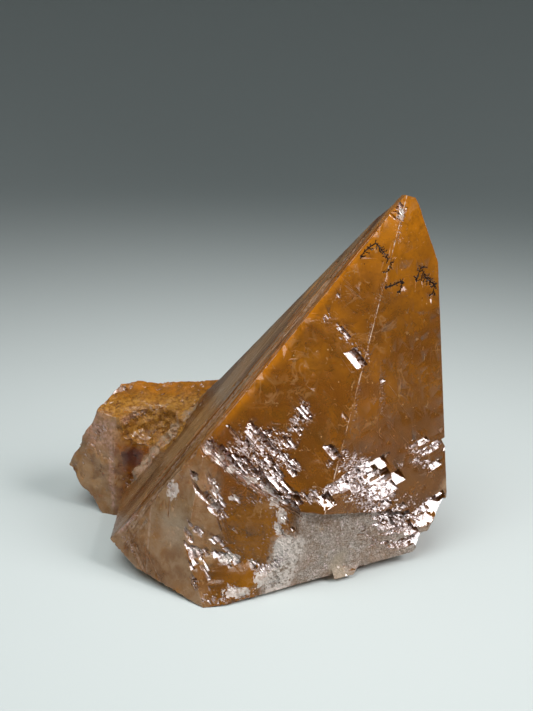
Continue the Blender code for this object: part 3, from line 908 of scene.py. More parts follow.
    def milk(self) -> np.ndarray:
        """Where the chips have left the stone crushed and milky.

        Returns:
            One weight for each place.
        """
        most = np.zeros(len(self.places))
        for patch in CHIP_PATCHES:
            if patch.milk == 0.0 or patch.look is not Look.FRONT:
                continue
            flat = self.places[:, (0, 2)]
            for start, end in zip(patch.line, patch.line[1:]):
                away = segment_distance(flat, np.array(start), np.array(end))
                reach = max(patch.spread, 0.35)
                most = np.maximum(most, patch.milk * smooth(away, reach * 3.2, reach * 1.6))
        return most * smooth(self.facing[:, 1], 0.2, -0.2)

    def crest(self) -> np.ndarray:
        """Pinkish crests, partly rubbed and partly painted highlight: the brim, the small crystal's corners
        and the left foot.

        Returns:
            One weight for each place.
        """
        away = np.full(len(self.places), 99.0)
        for line in CRESTS:
            for start, end in zip(line, line[1:]):
                away = np.minimum(away, segment_distance(self.places, np.array(start), np.array(end)))
        blush = np.linalg.norm(self.places - np.array(BLUSH), axis=1)
        return np.maximum(smooth(away, 1.5, 0.3), smooth(blush, 8.5, 2.0))

    def all(self) -> dict[str, np.ndarray]:
        """Every kind of surface, by name.

        Returns:
            The weights, each under the name by which the finish reads it.
        """
        return {
            "pale": self.pale(), "frost": self.frost(), "chunk": self.chunk(), "crust": self.crust(),
            "pocket": self.pocket(), "roof": self.side_roof(), "rust_and_shade": self.rust_and_shade(),
            "strip": self.strip(), "painted_tip_glow": self.painted_tip_glow(), "milk": self.milk(), "crest": self.crest(),
            "rise": self.rise(), "golden_light_and_sand": self.golden_light_and_sand(), "bruise": self.bruise(), "shade": self.shade(),
            "facet_highlight": self.facet_highlight(), "dusk": self.dusk(), "snow": self.snow(),
        }


# ---------------------------------------------------------------- the specimen's mesh
@dataclass(frozen=True)
class FineZone:
    """A box in which the mesh is divided finely, so that it can be roughened."""

    low: tuple[float, float, float]
    high: tuple[float, float, float]
    spacing: float

    def holds(self, place: Vector) -> bool:
        """Whether a place lies in the box."""
        return all(low <= at <= high for low, at, high in zip(self.low, place, self.high))


FINE_ZONES = (
    FineZone((-60.0, -45.0, -1.0), (60.0, 45.0, 110.0), 5.0),       # everywhere, coarsely
    FineZone((-60.0, 2.0, 0.5), (-6.0, 45.0, 45.0), 1.5),           # the small crystal
    FineZone((-42.0, -42.0, 0.5), (-8.0, -15.0, 34.0), 1.5),        # the pale left facet
    FineZone((9.0, -42.0, 0.5), (58.0, -5.0, 25.0), 1.2),           # the frosted slope
    FineZone((-41.0, 2.0, 10.0), (-12.0, 20.0, 39.0), 0.75),        # pocket and crust
)


@dataclass(frozen=True)
class Grit:
    """How high the fine, the middling and the broad unevenness of a broken place stands."""

    fine: float
    middling: float
    broad: float = 0.0

    def height(self, waves: tuple[np.ndarray, np.ndarray, np.ndarray]) -> np.ndarray:
        """Add the three up.

        Args:
            waves: the fine, the middling and the broad chance variation, a number for each corner.

        Returns:
            The height at each corner.
        """
        return self.fine * waves[0] + self.middling * waves[1] + self.broad * waves[2]


CRUST_GRIT = Grit(0.25, 0.2)
POCKET_GRIT = Grit(0.4, 0.9)
SLOPE_GRIT = Grit(0.12, 0.2)
SMALL_GRIT = Grit(0.16, 0.3, 1.1)
FACET_GRIT = Grit(0.0, 0.08, 0.3)


@dataclass
class SpecimenMesh:
    """The specimen's fine surface, made from a copy of its solid."""

    name: str = "amber_calcite_look"
    seed: int = 411
    weld: float = 0.0002
    straight: float = 0.05
    broad_face: float = 4.0
    sliver: float = 0.02
    cleaved_match: tuple[float, float] = (0.95, 0.975)
    lit_match: tuple[float, float] = (0.955, 0.98)
    untouched_match: tuple[float, float] = (0.9995, 0.995)
    foot: float = 0.05
    crust_reach: float = 3.6
    crust_passes: int = 18
    crisp_from: float = 16.0
    ferns: FernStain = field(default_factory=FernStain)
    piece: bpy.types.Object = field(init=False)
    flats: np.ndarray = field(init=False)

    def copy_solid(self, node: bpy.types.Object) -> None:
        """Copy the solid and join its corners into one closed skin.

        Args:
            node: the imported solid.
        """
        mesh = node.data.copy()
        mesh.name = self.name
        mesh.transform(Matrix.Scale(1.0 / METRES_PER_MM, 4))
        shape = bmesh.new()
        shape.from_mesh(mesh)
        bmesh.ops.remove_doubles(shape, verts=shape.verts[:], dist=self.weld)
        bmesh.ops.dissolve_limit(shape, angle_limit=math.radians(self.straight), verts=shape.verts[:],
                                 edges=shape.edges[:])
        shape.to_mesh(mesh)
        shape.free()
        self.flats = np.array([face.normal for face in mesh.polygons if face.area > self.broad_face])
        self.piece = bpy.data.objects.new(self.name, mesh)
        bpy.context.scene.collection.objects.link(self.piece)

    def plan_cuts(self) -> BlockCutter:
        """Lay out the chips, the grooves, the edge wear and the stains on the plain solid.

        Returns:
            What holds the blocks that wait to be cut.
        """
        cutter = BlockCutter(self.piece, self.seed)
        for cut in (*CHIP_PATCHES, *GROOVES, EdgeWear()):
            cut.carve(cutter)
        self.ferns.etch(cutter)
        return cutter

    def refine(self) -> None:
        """Slice the large faces up, finely where the surface will be rough."""
        shape = bmesh.new()
        shape.from_mesh(self.piece.data)
        for zone in FINE_ZONES:
            for axis in range(3):
                self.slice_zone(shape, zone, axis)
        shape.to_mesh(self.piece.data)
        shape.free()

    def cut(self, cutter: BlockCutter) -> None:
        """Take the planned blocks out and make triangles.

        Args:
            cutter: holds the blocks.
        """
        log.info("%d fine chips, flats, grooves and strokes", cutter.cut())
        shape = bmesh.new()
        shape.from_mesh(self.piece.data)
        bmesh.ops.triangulate(shape, faces=[face for face in shape.faces if len(face.verts) > 3])
        shape.to_mesh(self.piece.data)
        shape.free()

    def slice_zone(self, shape: bmesh.types.BMesh, zone: FineZone, axis: int) -> None:
        """Slice the faces of one zone by evenly spaced planes across one axis.

        Args:
            shape: the mesh.
            zone: where.
            axis: 0, 1 or 2 for x, y or z.
        """
        normal = Vector([float(index == axis) for index in range(3)])
        waiting: dict[int, list[bmesh.types.BMFace]] = {}

        def queue(faces: Iterable[bmesh.types.BMFace], earliest: int) -> None:
            """Let each face wait for the first plane that crosses it.

            Args:
                faces: the faces.
                earliest: the first plane that is still to come.
            """
            for face in faces:
                spans = [vert.co[axis] / zone.spacing for vert in face.verts]
                first = max(earliest, math.ceil(min(spans) + self.sliver))
                if first < max(spans) - self.sliver:
                    waiting.setdefault(first, []).append(face)

        queue((face for face in shape.faces if zone.holds(face.calc_center_median())), -999)
        while waiting:
            index = min(waiting)
            faces = waiting.pop(index)
            parts = {part for face in faces for part in (*face.edges, *face.verts)}
            made = bmesh.ops.bisect_plane(shape, geom=[*faces, *parts], plane_no=normal,
                                          plane_co=normal * index * zone.spacing)
            queue((part for part in made["geom"] if isinstance(part, bmesh.types.BMFace)), index + 1)

    def read_points(self) -> np.ndarray:
        """The mesh's corners as rows of x, y and z.

        Returns:
            One row for each corner.
        """
        points = np.empty(len(self.piece.data.vertices) * 3, np.float32)
        self.piece.data.vertices.foreach_get("co", points)
        return points.reshape(-1, 3).astype(float)

    def read_faces(self) -> tuple[np.ndarray, np.ndarray]:
        """The middles and the normals of the mesh's faces, as rows of x, y and z.

        Returns:
            The middles, then the normals.
        """
        found = []
        for name in ("center", "normal"):
            rows = np.empty(len(self.piece.data.polygons) * 3, np.float32)
            self.piece.data.polygons.foreach_get(name, rows)
            found.append(rows.reshape(-1, 3).astype(float))
        return found[0], found[1]

    def classify(self) -> None:
        """Write down which faces are cleaved, worn or stained, and which cleaved faces get a painted glint,
        while they still lie flat.
        """
        middles, normals = self.read_faces()
        walls = np.array(AXES.cleavage)
        cleaved = smooth(np.abs(normals @ walls.T).max(axis=1), *self.cleaved_match)
        plain = np.zeros(len(normals))
        for flat in self.flats:
            plain = np.maximum(plain, normals @ flat)
        # Painted glints: cleaved faces turned to the glint lamp get most of the painted brightness, the
        # others a little by chance.
        chance = np.sin(normals @ np.array((311.0, 173.0, 257.0))) * 0.5 + 0.5
        to_light = smooth(normals @ walls[0], *self.lit_match)
        painted_light = to_light * (0.4 + 0.6 * chance) + (1.0 - to_light) * 0.3 * chance
        weights = {
            "cleaved": cleaved,
            "worn": smooth(plain, *self.untouched_match) * (1.0 - cleaved),
            "painted_glint": np.where(cleaved > 0.5, painted_light, 0.0),
            "fern": self.ferns.weight(middles),
        }
        for name, weight in weights.items():
            layer = self.piece.data.attributes.new(name, "FLOAT", "FACE")
            layer.data.foreach_set("value", weight.astype(np.float32))

    def soften_crust(self) -> None:
        """Melt the crumbs of the crust into each other."""
        shape = bmesh.new()
        shape.from_mesh(self.piece.data)
        points = self.read_points()
        away = segment_distance(points, np.array(VALLEY_TOP), np.array(VALLEY_FOOT))
        shape.verts.ensure_lookup_table()
        crumbs = [shape.verts[index] for index in np.where(away < self.crust_reach)[0]]
        for _ in range(self.crust_passes):
            bmesh.ops.smooth_vert(shape, verts=crumbs, factor=0.5,
                                  use_axis_x=True, use_axis_y=True, use_axis_z=True)
        shape.to_mesh(self.piece.data)
        shape.free()

    def roughen(self) -> None:
        """Raise the grain of the broken places: crust, pocket, frosted slope and the orange top."""
        mesh = self.piece.data
        points = self.read_points()
        normals = np.empty(len(points) * 3, np.float32)
        mesh.vertices.foreach_get("normal", normals)
        normals = normals.reshape(-1, 3).astype(float)
        regions = Regions(points, normals)
        waves = (wander(points, 0.9, 5.0), wander(points, 2.2, 8.0), wander(points, 6.0, 13.0))
        small = smooth(points[:, 1], 9.0, 14.0) * smooth(points[:, 0], -8.0, -13.0)
        lift = regions.crust() * CRUST_GRIT.height(waves)
        lift += regions.pocket() * POCKET_GRIT.height(waves)
        lift += regions.on(FROSTED_SLOPE, 2.0) * SLOPE_GRIT.height(waves)
        lift += small * SMALL_GRIT.height(waves)
        lift += regions.on(PALE_FACET, 2.0) * FACET_GRIT.height(waves)
        lift = np.where(points[:, 2] < self.foot, 0.0, lift)
        moved = points + normals * np.minimum(lift, 0.3 + 0.5 * small)[:, None]
        mesh.vertices.foreach_set("co", moved.astype(np.float32).ravel())
        mesh.update()

    def mark(self) -> None:
        """Write down what kind of surface is where, for the finish to read."""
        mesh = self.piece.data
        mesh.materials.clear()
        mesh.polygons.foreach_set("material_index", np.zeros(len(mesh.polygons), np.int32))
        points = self.read_points()
        _, normals = self.read_faces()
        corners = np.empty(len(mesh.loops), np.int32)
        mesh.loops.foreach_get("vertex_index", corners)
        sides = np.empty(len(mesh.polygons), np.int32)
        mesh.polygons.foreach_get("loop_total", sides)
        for name, weight in Regions(points[corners], np.repeat(normals, sides, axis=0)).all().items():
            layer = mesh.attributes.new(name, "FLOAT", "CORNER")
            layer.data.foreach_set("value", weight.astype(np.float32))

    def finish_mesh(self) -> None:
        """Bring the mesh back to metres and shade it with crisp edges."""
        mesh = self.piece.data
        mesh.transform(Matrix.Scale(METRES_PER_MM, 4))
        mesh.shade_smooth()
        mesh.set_sharp_from_angle(angle=math.radians(self.crisp_from))

    def build(self, node: bpy.types.Object) -> bpy.types.Object:
        """Make the whole surface.

        Args:
            node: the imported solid.

        Returns:
            The finished piece, without its material.
        """
        self.copy_solid(node)
        cutter = self.plan_cuts()
        self.refine()
        self.cut(cutter)
        self.classify()
        self.soften_crust()
        self.roughen()
        self.mark()
        self.finish_mesh()
        log.info("specimen: %d faces", len(self.piece.data.polygons))
        return self.piece


# ---------------------------------------------------------------- shader building
Colour = tuple[float, float, float]


class Sheet:
    """A node tree that is filled by short calls."""

    def __init__(self, tree: bpy.types.NodeTree) -> None:
        """Keep the tree.

        Args:
            tree: a material's tree or a group.
        """
        self.tree = tree

    def node(self, kind: str, **settings: object) -> bpy.types.Node:
        """Add a node.

        Args:
            kind: the node's Blender type.
            settings: its properties, by name.

        Returns:
            The node.
        """
        made = self.tree.nodes.new(kind)
        for name, value in settings.items():
            setattr(made, name, value)
        return made

    def feed(self, socket: bpy.types.NodeSocket, source: object) -> None:
        """Link a socket to a source, or set it to a value.

        Args:
            socket: the input to fill.
            source: a socket, a colour, a number or a vector.
        """
        if isinstance(source, bpy.types.NodeSocket):
            self.tree.links.new(source, socket)
        elif isinstance(source, tuple) and len(source) == 3 and socket.type == "RGBA":
            socket.default_value = (*source, 1.0)
        else:
            socket.default_value = source

    def math(self, operation: str, *sources: object) -> bpy.types.NodeSocket:
        """Work a number out.

        Args:
            operation: the node's operation.
            sources: its inputs in order, each a number or a socket.

        Returns:
            The number.
        """
        made = self.node("ShaderNodeMath", operation=operation)
        for socket, source in zip(made.inputs, sources):
            self.feed(socket, source)
        return made.outputs[0]

    def times(self, first: object, second: object) -> bpy.types.NodeSocket:
        """Multiply two numbers."""
        return self.math("MULTIPLY", first, second)

    def mix(self, share: object, first: object, second: object) -> bpy.types.NodeSocket:
        """Blend two colours.

        Args:
            share: how much of the second.
            first: a colour or a socket.
            second: a colour or a socket.

        Returns:
            The blended colour.
        """
        made = self.node("ShaderNodeMix", data_type="RGBA", clamp_factor=True)
        self.feed(made.inputs[0], share)
        self.feed(made.inputs[6], first)
        self.feed(made.inputs[7], second)
        return made.outputs[2]

    def blend(self, share: object, first: object, second: object) -> bpy.types.NodeSocket:
        """Blend two numbers by a share.

        Args:
            share: how much of the second.
            first: a number or a socket.
            second: a number or a socket.

        Returns:
            The blended number.
        """
        made = self.node("ShaderNodeMix", data_type="FLOAT", clamp_factor=True)
        self.feed(made.inputs[0], share)
        self.feed(made.inputs[2], first)
        self.feed(made.inputs[3], second)
        return made.outputs[0]

    def range(self, source: object, low: float, high: float,
              to_low: float = 0.0, to_high: float = 1.0) -> bpy.types.NodeSocket:
        """Map a number softly from one range to another.

        Args:
            source: the number.
            low: where the first range begins.
            high: where it ends. It may lie under low.
            to_low: what low becomes.
            to_high: what high becomes.

        Returns:
            The mapped number.
        """
        made = self.node("ShaderNodeMapRange", interpolation_type="SMOOTHSTEP")
        for socket, value in zip(made.inputs, (source, low, high, to_low, to_high)):
            self.feed(socket, value)
        return made.outputs[0]

    def weight(self, name: str) -> bpy.types.NodeSocket:
        """Read one of the mesh's surface weights."""
        return self.node("ShaderNodeAttribute", attribute_name=name).outputs["Fac"]

    def share(self, name: str, amount: object) -> bpy.types.NodeSocket:
        """Part of one of the mesh's surface weights."""
        return self.times(self.weight(name), amount)

    def inverse(self, source: object) -> bpy.types.NodeSocket:
        """One divided by a number."""
        return self.math("DIVIDE", 1.0, source)

    def noise(self, vector: object, scale: float, detail: float = 3.0,
              roughness: float = 0.5, distortion: float = 0.0) -> bpy.types.NodeSocket:
        """Cloudy noise, as a number.

        Args:
            vector: the place.
            scale: how many clouds there are to a millimetre.
            detail: how many finer layers there are.
            roughness: how strong the finer layers are.
            distortion: how far the clouds are bent.

        Returns:
            A number from 0 to 1.
        """
        made = self.node("ShaderNodeTexNoise")
        self.feed(made.inputs["Vector"], vector)
        for name, value in (("Scale", scale), ("Detail", detail), ("Roughness", roughness),
                            ("Distortion", distortion)):
            self.feed(made.inputs[name], value)
        return made.outputs["Fac"]

    def below(self, plane: Plane) -> bpy.types.NodeSocket:
        """Depth under a plane, in millimetres.

        Args:
            plane: the plane.

        Returns:
            The depth, positive inside the stone.
        """
        depth = self.node("ShaderNodeVectorMath", operation="DOT_PRODUCT")
        self.feed(depth.inputs[0], self.millimetres())
        depth.inputs[1].default_value = -plane.normal
        return self.math("ADD", depth.outputs["Value"], plane.point.dot(plane.normal))

    def millimetres(self) -> bpy.types.NodeSocket:
        """The place on the object, in millimetres.

        Returns:
            The place, as a vector.
        """
        place = self.node("ShaderNodeTexCoord").outputs["Object"]
        scaled = self.node("ShaderNodeVectorMath", operation="SCALE")
        self.feed(scaled.inputs[0], place)
        scaled.inputs["Scale"].default_value = 1.0 / METRES_PER_MM
        return scaled.outputs[0]


class Effect:
    """A shader group with named inputs and outputs, made once."""

    name = "effect"
    inputs: tuple[tuple[str, float], ...] = ()
    outputs: tuple[str, ...] = ("Mask",)

    def group(self) -> bpy.types.NodeTree:
        """The group, built the first time it is asked for.

        Returns:
            The group.
        """
        found = bpy.data.node_groups.get(self.name)
        if found is not None:
            return found
        tree = bpy.data.node_groups.new(self.name, "ShaderNodeTree")
        for name, value in self.inputs:
            socket = tree.interface.new_socket(name, in_out="INPUT", socket_type="NodeSocketFloat")
            socket.default_value = value
        for name in self.outputs:
            tree.interface.new_socket(name, in_out="OUTPUT", socket_type="NodeSocketFloat")
        sheet = Sheet(tree)
        made = self.draw(sheet, sheet.node("NodeGroupInput"))
        end = sheet.node("NodeGroupOutput")
        for name, source in zip(self.outputs, made):
            sheet.feed(end.inputs[name], source)
        return tree

    def draw(self, sheet: Sheet, start: bpy.types.Node) -> Iterable[bpy.types.NodeSocket]:
        """Draw the inside of the group.

        Args:
            sheet: the group's sheet.
            start: the group's inputs.

        Returns:
            The outputs in order.
        """
        raise NotImplementedError

    def place(self, sheet: Sheet, **values: object) -> bpy.types.Node:
        """Put the group into a material.

        Args:
            sheet: the material's sheet.
            values: the group's inputs, by name.

        Returns:
            The group's node.
        """
        made = sheet.node("ShaderNodeGroup", node_tree=self.group())
        for name, value in values.items():
            sheet.feed(made.inputs[name], value)
        return made


class Veils(Effect):
    """Wispy healed cracks and cloud inside the stone."""

    name = "veils"
    inputs = (("Size", 14.0), ("Thinness", 0.04))
    outputs = ("Cloud", "Thread")

    def draw(self, sheet: Sheet, start: bpy.types.Node) -> Iterable[bpy.types.NodeSocket]:
        """Broad cloud, and thin threads where a bent noise crosses its middle.

        Args:
            sheet: the group's sheet.
            start: the group's inputs.

        Returns:
            The outputs in order.
        """
        place = sheet.millimetres()
        scale = sheet.inverse(start.outputs["Size"])
        cloud = sheet.noise(place, scale, 5.0, 0.6, 0.6)
        bent = sheet.noise(place, sheet.times(scale, 1.6), 4.0, 0.55, 1.2)
        off = sheet.math("ABSOLUTE", sheet.math("SUBTRACT", bent, 0.5))
        thread = sheet.math("SUBTRACT", 1.0, sheet.math("DIVIDE", off, start.outputs["Thinness"]))
        patchy = sheet.range(sheet.noise(place, sheet.times(scale, 0.9), 2.0), 0.5, 0.62)
        clean = sheet.times(sheet.math("MAXIMUM", thread, 0.0), patchy)
        return cloud, clean


class Mottle(Effect):
    """Soft uneven patches of one size."""

    name = "mottle"
    inputs = (("Size", 3.0), ("Softness", 0.15), ("Shift", 0.0))

    def draw(self, sheet: Sheet, start: bpy.types.Node) -> Iterable[bpy.types.NodeSocket]:
        """Noise, pulled apart around its middle.

        Args:
            sheet: the group's sheet.
            start: the group's inputs.

        Returns:
            The outputs in order.
        """
        shifted = sheet.node("ShaderNodeVectorMath", operation="ADD")
        sheet.feed(shifted.inputs[0], sheet.millimetres())
        sheet.feed(shifted.inputs[1], start.outputs["Shift"])
        scale = sheet.inverse(start.outputs["Size"])
        patches = sheet.noise(shifted.outputs[0], scale, 4.0, 0.62, 0.4)
        return (sheet.range(patches, sheet.math("SUBTRACT", 0.5, start.outputs["Softness"]),
                            sheet.math("ADD", 0.5, start.outputs["Softness"])),)


class Specks(Effect):
    """Pinprick specks, thinly strewn."""

    name = "specks"
    inputs = (("Spacing", 1.6), ("Size", 0.12), ("Share", 0.4))
    outputs = ("Bright", "Dark")

    def draw(self, sheet: Sheet, start: bpy.types.Node) -> Iterable[bpy.types.NodeSocket]:
        """Small rounds in the middles of chance cells: some bright, some dark.

        Args:
            sheet: the group's sheet.
            start: the group's inputs.

        Returns:
            The outputs in order.
        """
        cells = sheet.node("ShaderNodeTexVoronoi", feature="F1")
        sheet.feed(cells.inputs["Vector"], sheet.millimetres())
        sheet.feed(cells.inputs["Scale"], sheet.inverse(start.outputs["Spacing"]))
        tint = sheet.node("ShaderNodeSeparateColor")
        sheet.feed(tint.inputs[0], cells.outputs["Color"])
        size = sheet.times(start.outputs["Size"], tint.outputs[2])
        inside = sheet.math("LESS_THAN", cells.outputs["Distance"], size)
        share = start.outputs["Share"]
        painted_glint = sheet.math("LESS_THAN", tint.outputs[0], share)
        dark = sheet.math("LESS_THAN", tint.outputs[1], share)
        return sheet.times(inside, painted_glint), sheet.times(inside, dark)


class Grain(Effect):
    """Sugary grain of a frosted break."""

    name = "grain"
    inputs = (("Size", 0.8),)
    outputs = ("Mask", "Height")

    def draw(self, sheet: Sheet, start: bpy.types.Node) -> Iterable[bpy.types.NodeSocket]:
        """Cells of uneven height, and their mask.

        Args:
            sheet: the group's sheet.
            start: the group's inputs.

        Returns:
            The outputs in order.
        """
        place = sheet.millimetres()
        cells = sheet.node("ShaderNodeTexVoronoi", feature="F1")
        sheet.feed(cells.inputs["Vector"], place)
        sheet.feed(cells.inputs["Scale"], sheet.inverse(start.outputs["Size"]))
        tint = sheet.node("ShaderNodeSeparateColor")
        sheet.feed(tint.inputs[0], cells.outputs["Color"])
        height = sheet.math("SUBTRACT", tint.outputs[0], cells.outputs["Distance"])
        return tint.outputs[1], height


class GrowthLines(Effect):
    """Fine ridges that run lengthwise down a crystal face."""

    name = "growth_lines"
    inputs = (("Spacing", 0.8), ("Unevenness", 0.6), ("Squeeze", 0.035))
    outputs = ("Height",)

    def draw(self, sheet: Sheet, start: bpy.types.Node) -> Iterable[bpy.types.NodeSocket]:
        """Noise that is stretched along the edge of the strip.

        Args:
            sheet: the group's sheet.
            start: the group's inputs.

        Returns:
            The outputs in order.
        """
        place = sheet.millimetres()
        along = AXES.front_left.cross(AXES.strip).normalized()
        across = AXES.strip.cross(along).normalized()
        parts = []
        for way, squeeze in ((across, 1.0), (along, start.outputs["Squeeze"])):
            dot = sheet.node("ShaderNodeVectorMath", operation="DOT_PRODUCT")
            sheet.feed(dot.inputs[0], place)
            dot.inputs[1].default_value = way
            parts.append(sheet.times(dot.outputs["Value"], squeeze))
        joined = sheet.node("ShaderNodeCombineXYZ")
        sheet.feed(joined.inputs[0], parts[0])
        sheet.feed(joined.inputs[1], parts[1])
        scale = sheet.inverse(start.outputs["Spacing"])
        return (sheet.noise(joined.outputs[0], scale, 3.0, start.outputs["Unevenness"]),)


class Scratches(Effect):
    """Short pale scratches and pits, thinly strewn."""

    name = "scratches"
    inputs = (("Size", 5.0), ("Share", 0.3))

    def draw(self, sheet: Sheet, start: bpy.types.Node) -> Iterable[bpy.types.NodeSocket]:
        """Borders of stretched cells, broken up by noise.

        Args:
            sheet: the group's sheet.
            start: the group's inputs.

        Returns:
            The outputs in order.
        """
        place = sheet.millimetres()
        cells = sheet.node("ShaderNodeTexVoronoi", feature="DISTANCE_TO_EDGE")
        bend = sheet.node("ShaderNodeTexNoise")
        sheet.feed(bend.inputs["Vector"], place)
        bend.inputs["Scale"].default_value = 0.35
        warp = sheet.node("ShaderNodeVectorMath", operation="MULTIPLY_ADD")
        sheet.feed(warp.inputs[0], bend.outputs["Color"])
        warp.inputs[1].default_value = (3.0, 3.0, 5.0)
        sheet.feed(warp.inputs[2], place)
        sheet.feed(cells.inputs["Vector"], warp.outputs[0])
        sheet.feed(cells.inputs["Scale"], sheet.inverse(start.outputs["Size"]))
        line = sheet.range(cells.outputs["Distance"], 0.03, 0.0)
        gate = sheet.noise(place, 0.5, 2.0)
        kept = sheet.range(gate, sheet.math("SUBTRACT", 1.0, start.outputs["Share"]),
                           sheet.math("SUBTRACT", 1.06, start.outputs["Share"]))
        return (sheet.times(line, kept),)


class Nearness(Effect):
    """How near a place is to one middle: 1 there, and 0 at its rim."""

    name = "nearness"
    inputs = (("Across", 0.0), ("Deep", 0.0), ("Up", 0.0), ("Width", 2.0), ("Height", 3.0))
    outputs = ("Nearness",)

    def draw(self, sheet: Sheet, start: bpy.types.Node) -> Iterable[bpy.types.NodeSocket]:
        """Distance from the middle, in shares of the width and the height.

        Args:
            sheet: the group's sheet.
            start: the group's inputs.

        Returns:
            The outputs in order.
        """
        middle, size, away = (sheet.node("ShaderNodeCombineXYZ"), sheet.node("ShaderNodeCombineXYZ"),
                              sheet.node("ShaderNodeVectorMath", operation="SUBTRACT"))
        for index, (at, reach) in enumerate((("Across", "Width"), ("Deep", "Width"), ("Up", "Height"))):
            sheet.feed(middle.inputs[index], start.outputs[at])
            sheet.feed(size.inputs[index], start.outputs[reach])
        sheet.feed(away.inputs[0], sheet.millimetres())
        sheet.feed(away.inputs[1], middle.outputs[0])
        share = sheet.node("ShaderNodeVectorMath", operation="DIVIDE")
        sheet.feed(share.inputs[0], away.outputs[0])
        sheet.feed(share.inputs[1], size.outputs[0])
        length = sheet.node("ShaderNodeVectorMath", operation="LENGTH")
        sheet.feed(length.inputs[0], share.outputs[0])
        return (sheet.math("SUBTRACT", 1.0, length.outputs["Value"]),)


class Bits(Effect):
    """Angular bits that are kept by chance, the more the nearer they lie."""

    name = "bits"
    inputs = (("Nearness", 0.0), ("Size", 0.8), ("Fill", 2.4))

    def draw(self, sheet: Sheet, start: bpy.types.Node) -> Iterable[bpy.types.NodeSocket]:
        """Cells that are compared with the nearness.

        Args:
            sheet: the group's sheet.
            start: the group's inputs.

        Returns:
            The outputs in order.
        """
        cells = sheet.node("ShaderNodeTexVoronoi", feature="F1")
        sheet.feed(cells.inputs["Vector"], sheet.millimetres())
        sheet.feed(cells.inputs["Scale"], sheet.inverse(start.outputs["Size"]))
        tint = sheet.node("ShaderNodeSeparateColor")
        sheet.feed(tint.inputs[0], cells.outputs["Color"])
        kept = sheet.math("LESS_THAN", tint.outputs[0],
                          sheet.times(start.outputs["Nearness"], start.outputs["Fill"]))
        return (sheet.times(kept, sheet.range(tint.outputs[1], -0.8, 0.9)),)


# Each feather or painted glint: its middle, half its width and half its height.
FEATHERS_AND_GLINTS = (
    ((-19.0, -25.0, 26.4), 2.3, 3.2), ((-7.6, -27.5, 26.4), 2.1, 6.8), ((-12.4, -29.5, 12.4), 2.8, 1.9),
    ((-4.2, -31.0, 10.5), 3.9, 1.9), ((-9.4, -31.5, 6.2), 1.7, 5.0), ((-2.6, -28.0, 26.4), 2.8, 1.3),
    ((8.6, -31.0, 18.6), 1.6, 2.4), ((-12.6, -28.5, 18.0), 2.0, 2.2), ((-13.4, -31.0, 5.0), 1.5, 2.8),
    ((1.8, -31.5, 9.8), 1.9, 1.2), ((7.5, -31.5, 25.6), 2.6, 2.2), ((-3.6, -29.0, 18.4), 1.3, 1.0),
    ((9.4, -31.5, 22.0), 1.7, 3.2), ((9.0, -32.0, 13.6), 2.2, 3.2), ((4.5, -34.5, 5.5), 2.8, 2.6),
    ((-2.0, -36.0, 3.0), 4.6, 1.6), ((-9.4, -26.0, 38.6), 1.6, 1.8), ((-6.6, -27.0, 36.0), 1.6, 1.6),
    ((-3.4, -28.0, 33.6), 2.0, 1.2), ((1.6, -29.0, 31.0), 2.4, 1.2), ((6.0, -30.0, 28.4), 2.2, 1.3),
    ((40.8, -6.0, 96.6), 0.9, 2.4), ((-13.0, -28.0, 31.4), 1.2, 1.0),
)


@dataclass(frozen=True)
class Patterns:
    """The chance patterns that several coats of colour share."""

    patches: bpy.types.NodeSocket
    fine: bpy.types.NodeSocket
    crumbs: bpy.types.NodeSocket

    @classmethod
    def draw(cls, sheet: Sheet) -> "Patterns":
        """Put the patterns into a material.

        Args:
            sheet: the material's sheet.

        Returns:
            The patterns.
        """
        return cls(patches=Mottle().place(sheet, Size=3.2, Softness=0.16, Shift=57.0).outputs[0],
                   fine=Mottle().place(sheet, Size=1.1, Softness=0.14, Shift=83.0).outputs[0],
                   crumbs=Grain().place(sheet, Size=0.75).outputs["Mask"])


